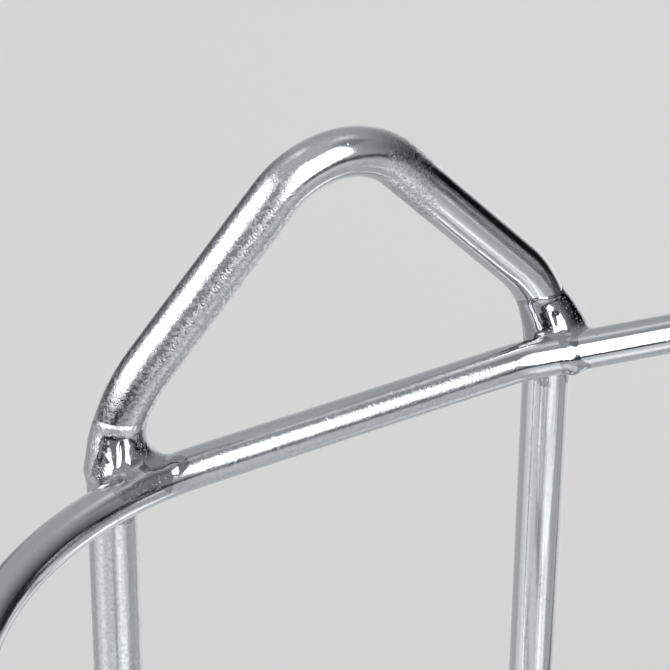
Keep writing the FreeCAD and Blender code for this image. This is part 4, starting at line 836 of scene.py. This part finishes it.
for end, fx in (("head", False), ("foot", True)):
    for tag, fy in (("left", False), ("right", True)):
        w = Build()
        for v, f in corner:
            v2, turn_faces = moved(v, fx, fy)
            w.add(v2, [tuple(reversed(q)) for q in f] if turn_faces else f)
        w.make("eyelet_welds_%s_%s_mesh" % (end, tag), node="eyelet_welds_%s_%s" % (end, tag), slot="weld", mats=[M_WELD])


def cross_weld(rods, centre, reach, k, step=0.6, lumps=(), seed=1.0):
    fn = weld_field([(np.array(p, float), r) for p, r in rods], centre, reach, k, lumps, rough=0.15)
    return surface_nets(fn, np.array(centre) - np.array(reach) - 1.0, np.array(centre) + np.array(reach) + 1.0, step, polish=2)


# ribs to the top and lower rails: one pattern each, moved along
ry = SKIN_Y - RAIL_D / 2
rib_top_w = cross_weld([([(-60, ry, RAIL_Z), (60, ry, RAIL_Z)], RAIL_D / 2), ([(0, LEG_Y, 120), (0, LEG_Y, RIB_TOP - 6)], RIB_D / 2)],
                       (0, ry + 5, RAIL_Z - 2), (13, 12, 13), 7.0)
ly = SKIN_Y - LOW_D / 2
rib_low_w = cross_weld([([(-60, ly, LOW_Z), (60, ly, LOW_Z)], LOW_D / 2), ([(0, LEG_Y, 55), (0, LEG_Y, 120)], RIB_D / 2)],
                       (0, ly + 4, LOW_Z), (11, 10, 11), 6.0)
w = Build()
for x in (-RIB_X, 0.0, RIB_X):
    for fy in (False, True):
        for v, f in (rib_top_w, rib_low_w):
            v2, turn_faces = moved(v + np.array([0, 0, 0]), False, fy)
            v2 = v2 + np.array([x, 0, 0])
            w.add(v2, [tuple(reversed(q)) for q in f] if turn_faces else f)
w.make("rib_welds_mesh", node="rib_welds", slot="weld", mats=[M_WELD])

# upturned bed rods to the end bows
bx = END_X - RAIL_D / 2
bow_top_w = cross_weld([([(-bx, -60, RAIL_Z), (-bx, 60, RAIL_Z)], RAIL_D / 2), ([(-BED_X, 0, 150), (-BED_X, 0, BED_TOP - 3)], BED_D / 2)],
                       (-BED_X - 3, 0, RAIL_Z - 1), (9, 9, 10), 5.0)
lx = END_X - RAIL_D + LOW_D / 2
bow_low_w = cross_weld([([(-lx, -60, LOW_Z), (-lx, 60, LOW_Z)], LOW_D / 2), ([(-BED_X, 0, 66), (-BED_X, 0, 110)], BED_D / 2)],
                       (-BED_X - 3, 0, LOW_Z), (8, 8, 8), 5.0, lumps=[((-BED_X - 3.5, 0, LOW_Z), (3.2, 3.6, 4.2), 3.0)])
w = Build()
for k in range(-2, 3):
    for fx in (False, True):
        for v, f in (bow_top_w, bow_low_w):
            v2, turn_faces = moved(v, fx, False)
            w.add(v2 + np.array([0, k * PITCH, 0]), [tuple(reversed(q)) for q in f] if turn_faces else f)
w.make("bow_welds_mesh", node="bow_welds", slot="weld", mats=[M_WELD])

# runners: a bead along each side of every bar that crosses them
w = Build()
bead_paths = []
for x in (-OUT_X, -JOINT_X, -RIB_X, 0.0, RIB_X, JOINT_X, OUT_X):
    for sx in (-1, 1):
        bead_paths.append((x, sx))


def bead_strip(x0, sx, y0):
    """Ripple bead in the corner between a bar and the runner below it."""
    n, k = 30, 12
    v, f = [], []
    half = 10.5
    for i in range(n + 1):
        t = -1 + 2 * i / n
        y = y0 + half * t
        grow = math.sqrt(max(0.0, 1 - t ** 6)) * (1 + 0.10 * math.sin(i * 2.1))
        for j in range(k):
            a = 2 * math.pi * j / k
            v.append((x0 + sx * (5.4 + 1.2 * (1 - grow)) + 2.3 * grow * math.cos(a) * sx, y,
                      RUN_T + 0.9 + 2.4 * grow * math.sin(a)))
    for i in range(n):
        for j in range(k):
            m = (j + 1) % k
            f.append((i * k + j, i * k + m, (i + 1) * k + m, (i + 1) * k + j))
    f.append(tuple(reversed(range(k)))); f.append(tuple(n * k + j for j in range(k)))
    if sx < 0:
        f = [tuple(reversed(q)) for q in f]
    return np.array(v), f


for side in (-1, 1):
    for x, sx in bead_paths:
        w.add(*bead_strip(x, sx, side * RUN_Y))
run_low_w = cross_weld([([(-lx, -60, LOW_Z), (-lx, 60, LOW_Z)], LOW_D / 2),
                        ([(-RUN_X + RUN_T / 2 - 2, -8, 62), (-RUN_X + RUN_T / 2 - 2, -8, RUN_TOP - 3)], 2.0),
                        ([(-RUN_X + RUN_T / 2 - 2, 8, 62), (-RUN_X + RUN_T / 2 - 2, 8, RUN_TOP - 3)], 2.0)],
                       (-RUN_X + 2, 0, LOW_Z - 3), (5.5, 13, 8), 3.0, lumps=[((-RUN_X + 3.4, 0, LOW_Z - 3.4), (2.4, 10.5, 2.6), 1.5)])
for side in (-1, 1):
    for fx in (False, True):
        v, f = run_low_w
        v2, turn_faces = moved(v, fx, False)
        w.add(v2 + np.array([0, side * RUN_Y, 0]), [tuple(reversed(q)) for q in f] if turn_faces else f)
w.make("runner_welds_mesh", node="runner_welds", slot="weld", mats=[M_WELD])
for o in [bpy.data.objects["runner_welds_mesh"]]:
    bm = bmesh.new(); bm.from_mesh(o.data); bmesh.ops.recalc_face_normals(bm, faces=bm.faces); bm.to_mesh(o.data); bm.free()


# ------------------------------------------------------------------ straps
STRAP_X = [-640.0, -220.0, 220.0, 640.0]
WEB_W, WEB_T, BAR_BASE, BAR_TONGUE, BUCKLE_Z = 50.0, 1.4, 34.0, 58.0, 190.0


def strap(index, x, side, bar, node):
    rail_y, bar_y = side * (SKIN_Y - RAIL_D / 2), side * bar
    dy, dz = bar_y - rail_y, BUCKLE_Z - RAIL_Z
    L = math.hypot(dy, dz)
    e_u = np.array([0, dy / L, dz / L])
    e_w = np.array([0, -dz / L, dy / L]) if dy > 0 else np.array([0, dz / L, -dy / L])
    ra, rb, h = RAIL_D / 2 + 0.35 + WEB_T / 2, 3.0 + 0.35 + WEB_T / 2, WEB_T / 2 + 0.05
    pts = [(76.0, -h), (60, -h), (45, -h), (32, -h)]
    a = math.acos(max(-1, min(1, (ra - h) / 32.0)))
    a0 = math.pi - math.acos(ra / 32.0)
    start = math.pi / 2 - math.asin((ra) / 34.0) * 0.0
    # round the rail
    lift = math.acos(ra / 32.0)
    for q in np.linspace(-lift, -2 * math.pi + lift, 30):
        pts.append((ra * math.cos(q), ra * math.sin(q)))
    pts += [(32, h), (45, h), (60, h), (74, h), (79, 0.25)]
    n_mid = 14
    for t in np.linspace(0, 1, n_mid + 2)[1:-1]:
        u = 82 + (L - 58 - 82) * t
        pts.append((u, 0.25 - 1.2 * math.sin(math.pi * t)))
    pts += [(L - 57, 0.2), (L - 52, h), (L - 40, h), (L - 28, h), (L - 19, h)]
    lift = math.acos(rb / 19.0)
    for q in np.linspace(math.pi - lift, -math.pi + lift, 24):
        pts.append((L + rb * math.cos(q), rb * math.sin(q)))
    pts += [(L - 19, -h), (L - 28, -h), (L - 40, -h), (L - 52, -h)]
    uw = np.array(pts)
    base = np.array([x, rail_y, RAIL_Z])
    path = base + uw[:, 0:1] * e_u + uw[:, 1:2] * e_w
    # ribbon
    t2 = np.gradient(uw, axis=0)
    t2 /= np.linalg.norm(t2, axis=1)[:, None]
    n2 = np.stack([-t2[:, 1], t2[:, 0]], 1)
    nrm = n2[:, 0:1] * e_u + n2[:, 1:2] * e_w
    along = np.concatenate([[0], np.cumsum(np.linalg.norm(np.diff(uw, axis=0), axis=1))])
    cols = 12
    prof = []
    hw, ht = WEB_W / 2, WEB_T / 2
    for j in range(cols + 1):
        u = -1 + 2 * j / cols
        prof.append((u * (hw - 0.7), ht, u))
    prof += [(hw - 0.15, ht * 0.6, 1), (hw, 0, 1), (hw - 0.15, -ht * 0.6, 1)]
    for j in range(cols + 1):
        u = 1 - 2 * j / cols
        prof.append((u * (hw - 0.7), -ht, u))
    prof += [(-hw + 0.15, -ht * 0.6, -1), (-hw, 0, -1), (-hw + 0.15, ht * 0.6, -1)]
    prof = np.array(prof)
    m, k = len(path), len(prof)
    v = (path[:, None, :] + prof[None, :, 0, None] * np.array([1.0, 0, 0]) + prof[None, :, 1, None] * nrm[:, None, :]).reshape(-1, 3)
    f, uv = [], []
    for i in range(m - 1):
        for j in range(k):
            q = (j + 1) % k
            f.append((i * k + j, i * k + q, (i + 1) * k + q, (i + 1) * k + j))
            a, c = prof[j, 0], prof[q, 0]
            uv += [(a, along[i]), (c, along[i]), (c, along[i + 1]), (a, along[i + 1])]
    f.append(tuple(reversed(range(k)))); uv += [(prof[j, 0], along[0]) for j in reversed(range(k))]
    f.append(tuple((m - 1) * k + j for j in range(k))); uv += [(prof[j, 0], along[-1]) for j in range(k)]
    ob = mesh_object("strap_%d_%s_webbing" % (index, node), v, f, uvs=uv, node="strap_%d_%s_web" % (index, node), slot="webbing", mats=[M_WEB])
    ob.visible_glossy = False
    bm = bmesh.new(); bm.from_mesh(ob.data); bmesh.ops.recalc_face_normals(bm, faces=bm.faces); bm.to_mesh(ob.data); bm.free()

    # sewn boxes with a cross, as separate stitches lying in the weave
    st = Build()

    def stitch(p, d):
        d = d / np.linalg.norm(d)
        L2, r = 1.35, 0.34
        side_v = np.array([-d[1], d[0]])
        vv, ff = [], []
        rings, seg = 5, 6
        for i in range(rings):
            t = -1 + 2 * i / (rings - 1)
            rr = r * math.sqrt(max(0.05, 1 - t * t))
            for j in range(seg):
                a = 2 * math.pi * j / seg
                off = p + d * t * L2 + side_v * rr * math.cos(a)
                hgt = rr * math.sin(a) * 0.8
                vv.append((off[0], off[1], hgt))
        for i in range(rings - 1):
            for j in range(seg):
                q = (j + 1) % seg
                ff.append((i * seg + j, i * seg + q, (i + 1) * seg + q, (i + 1) * seg + j))
        ff.append(tuple(reversed(range(seg)))); ff.append(tuple((rings - 1) * seg + j for j in range(seg)))
        return np.array(vv), ff

    def sewn(u0, u1):
        hw2 = WEB_W / 2 - 5
        lines = [((-hw2, u0), (hw2, u0)), ((-hw2, u1), (hw2, u1)), ((-hw2, u0), (-hw2, u1)), ((hw2, u0), (hw2, u1)),
                 ((-hw2, u0), (hw2, u1)), ((hw2, u0), (-hw2, u1))]
        for a, c in lines:
            a, c = np.array(a, float), np.array(c, float)
            n = max(2, int(round(np.linalg.norm(c - a) / 3.4)))
            for i in range(n):
                p = a + (c - a) * (i + 0.5) / n
                vv, ff = stitch(p, c - a)
                for sgn in (1, -1):
                    lay = h * sgn + ht * sgn
                    world = base + np.array([1.0, 0, 0]) * vv[:, 0:1] + e_u * vv[:, 1:2] + e_w * (lay + vv[:, 2:3])
                    st.add(world, ff)
    sewn(38, 70)
    sewn(L - 48, L - 26)
    o2 = st.make("strap_%d_%s_stitches" % (index, node), slot="webbing", mats=[M_THREAD])
    bm = bmesh.new(); bm.from_mesh(o2.data); bmesh.ops.recalc_face_normals(bm, faces=bm.faces); bm.to_mesh(o2.data); bm.free()


for i, x in enumerate(STRAP_X, 1):
    strap(i, x, -1, BAR_BASE, "anchor")
    strap(i, x, 1, BAR_TONGUE, "tongue")


# ------------------------------------------------------------------ pressed and machined pieces
def softened(node, width, mat, segments=2, body="frame", angle=30):
    """The CAD piece with its sharp edges broken, as a new mesh."""
    src = NODES[node]
    me = src.data.copy()
    me.name = node + "_mesh"
    bm = bmesh.new()
    bm.from_mesh(me)
    bmesh.ops.remove_doubles(bm, verts=bm.verts, dist=1e-6)
    bmesh.ops.dissolve_limit(bm, angle_limit=math.radians(1.0), verts=bm.verts, edges=bm.edges)
    sharp = [e for e in bm.edges if len(e.link_faces) == 2 and e.calc_face_angle(0) > math.radians(angle)]
    bmesh.ops.bevel(bm, geom=sharp, offset=width * MM, segments=segments, profile=0.5, affect="EDGES", clamp_overlap=True)
    # broad flat faces keep their own normal, so that the sheet reads flat between its holes
    flat = [f for f in bm.faces if len(f.verts) > 4 or 2 * f.calc_area() / f.calc_perimeter() > 2.2 * MM]
    for f in bm.faces:
        f.smooth = True
    for f in flat:
        f.smooth = False
    bmesh.ops.triangulate(bm, faces=[f for f in bm.faces if len(f.verts) > 4])
    bm.to_mesh(me)
    bm.free()
    stored = me.attributes.get("custom_normal")
    if stored is not None:
        me.attributes.remove(stored)
    me.materials.clear()
    me.materials.append(mat)
    ob = bpy.data.objects.new(node + "_piece", me)
    bpy.context.scene.collection.objects.link(ob)
    me.set_sharp_from_angle(angle=math.radians(28))
    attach(ob, body)
    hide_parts(node)
    return ob


for i in range(1, 5):
    softened("buckle_%d_base" % i, 0.45, M_BUCKLE)
    softened("buckle_%d_tongue" % i, 0.45, M_BUCKLE)
    softened("buckle_%d_lever" % i, 0.45, M_LEVER, body="buckle_%d_lever" % i)
softened("foot_plate", 0.6, M_PLATE, body="foot_rest")
softened("rail_clamp_left", 0.6, M_CLAMP, body="foot_rest")
softened("rail_clamp_right", 0.6, M_CLAMP, body="foot_rest")

# pins and springs in the buckles
b = Build()
s = Build()
for x in STRAP_X:
    b.add(*tube(np.array([(x - 27.6, -14.0, 194.0), (x + 27.6, -14.0, 194.0)]), 2.0, 32, chamfer=0.4))
    q = np.linspace(0, 11 * 2 * math.pi, 11 * 24 + 1)
    coil = np.stack([x - 6.3 + 12.65 * q / q[-1], -14.0 + 3.0 * np.cos(q), 194.0 + 3.0 * np.sin(q)], 1)
    s.add(*tube(coil, 0.45, 10, chamfer=0.1))
b.make("buckle_lever_pins_mesh", node="buckle_lever_pins", slot="pin_steel", mats=[M_PIN])
s.make("buckle_lever_springs_mesh", node="buckle_lever_springs", slot="spring_steel", mats=[M_SPRING])

for n, mat in (("foot_cross_tube", M_ROD), ("plate_saddles", M_STRIP), ("plate_screws", M_PIN),
               ("clamp_screw_left", M_SCREW), ("clamp_screw_right", M_SCREW)):
    NODES[n].data.materials.clear()
    NODES[n].data.materials.append(mat)

# ------------------------------------------------------------------ stage: pale floor, soft lights, and a studio world with dark and bright parts for the metal to reflect
def stage_plane(name, size, loc, rot, mat, camera=True, diffuse=True, shadow=True):
    me = bpy.data.meshes.new(name)
    sx, sy = size[0] / 2, size[1] / 2
    me.from_pydata([(-sx, -sy, 0), (sx, -sy, 0), (sx, sy, 0), (-sx, sy, 0)], [], [(0, 1, 2, 3)])
    ob = bpy.data.objects.new(name, me)
    bpy.context.scene.collection.objects.link(ob)
    ob.location, ob.rotation_euler = loc, rot
    me.materials.append(mat)
    ob.visible_camera, ob.visible_diffuse, ob.visible_shadow = camera, diffuse, shadow
    return ob


m, nt, bs = new_mat("floor_pale")
bs.inputs["Base Color"].default_value = (0.685, 0.688, 0.684, 1)
bs.inputs["Roughness"].default_value = 0.9
bs.inputs["Specular IOR Level"].default_value = 0.1
FLOOR = stage_plane("floor", (60, 60), (0, 0, 0), (0, 0, 0), m)
FLOOR.visible_glossy = False          # the studio below gives the metal its own pale floor


def studio():
    """Even soft light on matt surfaces. In the metal: two large softboxes, a grey room that is darker towards
    the foot end and along the horizon, and a pale floor."""
    w = bpy.data.worlds.new("studio")
    bpy.context.scene.world = w
    w.use_nodes = True
    nt = w.node_tree
    nt.nodes.clear()
    out = add(nt, "ShaderNodeOutputWorld")
    tc = add(nt, "ShaderNodeTexCoord")
    d = tc.outputs["Generated"]
    sep = add(nt, "ShaderNodeSeparateXYZ")
    link(nt, d, sep.inputs[0])
    el = math_node(nt, "MULTIPLY", math_node(nt, "ARCSINE", sep.outputs[2]), 180 / math.pi)

    def off_az(centre):
        vr = add(nt, "ShaderNodeVectorRotate", rotation_type="Z_AXIS")
        link(nt, d, vr.inputs["Vector"])
        vr.inputs["Angle"].default_value = -math.radians(centre)
        q = add(nt, "ShaderNodeSeparateXYZ")
        link(nt, vr.outputs[0], q.inputs[0])
        return math_node(nt, "ABSOLUTE", math_node(nt, "MULTIPLY", math_node(nt, "ARCTAN2", q.outputs[1], q.outputs[0]), 180 / math.pi))

    def inside(value, half, soft):
        return maprange(nt, value, half - soft, half + soft, 1.0, 0.0, True)

    def box(az, half_az, el0, half_el, soft=3.0):
        return math_node(nt, "MULTIPLY", inside(off_az(az), half_az, soft),
                         inside(math_node(nt, "ABSOLUTE", math_node(nt, "SUBTRACT", el, el0)), half_el, soft))

    mul = lambda a, b: math_node(nt, "MULTIPLY", a, b)
    plus = lambda a, b: math_node(nt, "ADD", a, b)
    less = lambda a: math_node(nt, "SUBTRACT", 1.0, a)
    sky = plus(0.46, mul(maprange(nt, el, 35, 80, 0.0, 1.0, True), 0.12))
    sky = plus(sky, mul(box(27, 14, 62, 8, 6), 0.35))
    # darker towards the foot end, most at the horizon
    sky = mul(sky, less(mul(inside(off_az(4), 34, 22), maprange(nt, el, 0, 58, 0.88, 0.0, True))))
    # the black line of the room's edge, broken where the pale backdrop is
    backdrop = box(68, 34, 0, 60, 9)
    edge = mul(inside(math_node(nt, "ABSOLUTE", plus(el, 5.0)), 6.5, 3.5), less(backdrop))
    deep = mul(inside(off_az(-3), 29, 4), inside(math_node(nt, "ABSOLUTE", plus(el, 7.5)), 13.0, 2.5))
    room = box(-124, 24, 14, 33, 5)
    near_edge = box(-130, 30, 1, 12, 4)
    side = mul(box(103, 14, -8, 15, 5), 0.55)
    sky = mul(sky, less(mul(box(122, 22, 8, 15, 6), 0.52)))
    floor = plus(0.52, mul(box(-76, 20, -44, 15, 6), 0.72))
    floor = plus(floor, mul(box(-86, 9, -37, 9, 5), 0.35))
    floor = plus(floor, mul(box(-62, 12, -28, 8, 6), 0.15))
    floor = plus(floor, mul(box(-95, 34, -78, 5, 3), 0.85))
    floor = plus(floor, mul(box(-66, 18, -18, 6, 4), 0.22))
    floor = plus(floor, mul(box(2, 22, -51, 8, 4), 0.95))
    floor = plus(floor, mul(inside(plus(el, 90.0), 7.5, 2.0), 0.40))
    floor = plus(floor, mul(box(-33, 9, -17, 3.5, 2), 0.60))
    floor = plus(floor, mul(box(178, 24, -36, 16, 8), 0.30))
    floor = plus(floor, mul(box(-142, 40, -36, 26, 10), 0.28))
    floor = plus(floor, mul(box(34, 30, -30, 26, 10), 0.32))
    up = maprange(nt, el, -2.5, -0.5, 0.0, 1.0, True)
    base = plus(mul(sky, up), mul(floor, less(up)))
    base = plus(base, mul(mul(backdrop, inside(math_node(nt, "ABSOLUTE", plus(el, 12.0)), 22.0, 8.0)), 0.12))
    base = mul(base, less(mul(edge, 0.86)))
    base = mul(base, less(mul(deep, 0.93)))
    base = mul(base, less(mul(room, 0.24)))
    base = mul(base, less(mul(box(-20, 20, 55, 13, 6), 0.42)))
    base = mul(base, less(mul(near_edge, 0.80)))
    base = mul(base, less(side))
    # softbox in front: its right side leans, its lower edge climbs to the right
    signed = math_node(nt, "SUBTRACT", off_az(-180), 85.0)      # 0 at -95, growing towards -10
    right = math_node(nt, "SUBTRACT", math_node(nt, "MINIMUM", plus(38.8, mul(el, 0.36)), 52.5), signed)
    low = math_node(nt, "SUBTRACT", math_node(nt, "SUBTRACT", el, 0.0),
              mul(math_node(nt, "MAXIMUM", math_node(nt, "SUBTRACT", signed, 28.0), 0.0), 0.90))
    near = plus(math_node(nt, "SUBTRACT", signed, 9.0), mul(math_node(nt, "SUBTRACT", el, 5.0), 0.30))
    front = mul(maprange(nt, near, -2.5, 2.5, 0.0, 1.0, True), maprange(nt, right, -2.5, 2.5, 0.0, 1.0, True))
    front = mul(front, mul(maprange(nt, low, -2.0, 2.0, 0.0, 1.0, True), maprange(nt, el, 55, 60, 1.0, 0.0, True)))
    front = mul(front, maprange(nt, sep.outputs[1], -0.05, 0.05, 1.0, 0.0, True))
    left = mul(inside(off_az(184), 34.5, 4), inside(math_node(nt, "ABSOLUTE", math_node(nt, "SUBTRACT", el, 31)), 15.5, 3))
    back = mul(box(118, 16, 60, 10, 5), 0.5)
    lit = plus(base, plus(plus(mul(front, 3.2), mul(left, 3.0)), back))
    tint = add(nt, "ShaderNodeMix", data_type="RGBA", blend_type="MULTIPLY")
    tint.inputs[0].default_value = 1.0
    link(nt, lit, tint.inputs[6])
    tint.inputs[7].default_value = (0.975, 0.99, 1.0, 1)
    shine = add(nt, "ShaderNodeBackground")
    link(nt, tint.outputs[2], shine.inputs[0])
    soft = add(nt, "ShaderNodeBackground")
    soft.inputs[0].default_value = (1.0, 1.0, 0.995, 1)
    soft.inputs[1].default_value = 0.62
    lp = add(nt, "ShaderNodeLightPath")
    pick = add(nt, "ShaderNodeMixShader")
    link(nt, lp.outputs["Is Glossy Ray"], pick.inputs[0])
    link(nt, soft.outputs[0], pick.inputs[1])
    link(nt, shine.outputs[0], pick.inputs[2])
    link(nt, pick.outputs[0], out.inputs[0])


studio()


def softbox(name, loc, target, size, power, colour=(1, 1, 1)):
    d = bpy.data.lights.new(name, "AREA")
    d.shape = "RECTANGLE"
    d.size, d.size_y = size
    d.energy = power
    d.color = colour
    ob = bpy.data.objects.new(name, d)
    bpy.context.scene.collection.objects.link(ob)
    ob.location = loc
    ob.rotation_euler = (Vector(target) - Vector(loc)).to_track_quat("-Z", "Y").to_euler()
    ob.visible_camera = False
    ob.visible_glossy = False
    return ob


softbox("top_softbox", (0.2, 0.4, 3.4), (0, 0.2, 0), (4.0, 3.0), 62)

# ------------------------------------------------------------------ camera
th, psi, rho = math.radians(32.35), math.radians(19.38), math.radians(0.42)
F = Vector((math.sin(psi) * math.cos(th), math.cos(psi) * math.cos(th), -math.sin(th)))
R = Vector((math.cos(psi), -math.sin(psi), 0))
U = R.cross(F)
R2 = R * math.cos(rho) + U * math.sin(rho)
U2 = -R * math.sin(rho) + U * math.cos(rho)
K = Vector((-KINK_X, SKIN_Y - RAIL_D / 2, RAIL_Z)) * MM
C = K + Vector((-39.44, 26.3, 0)) * MM - F * 828.8 * MM
cam_data = bpy.data.cameras.new("camera")
cam_data.sensor_width = 36
cam_data.lens = 3300 / 670 * 36
cam_data.clip_start, cam_data.clip_end = 0.05, 100
cam = bpy.data.objects.new("camera", cam_data)
bpy.context.scene.collection.objects.link(cam)
rot = Matrix((R2, U2, -F)).transposed()
cam.matrix_world = Matrix.Translation(C) @ rot.to_4x4()
bpy.context.scene.camera = cam
bpy.context.scene.view_settings.view_transform = "Standard"
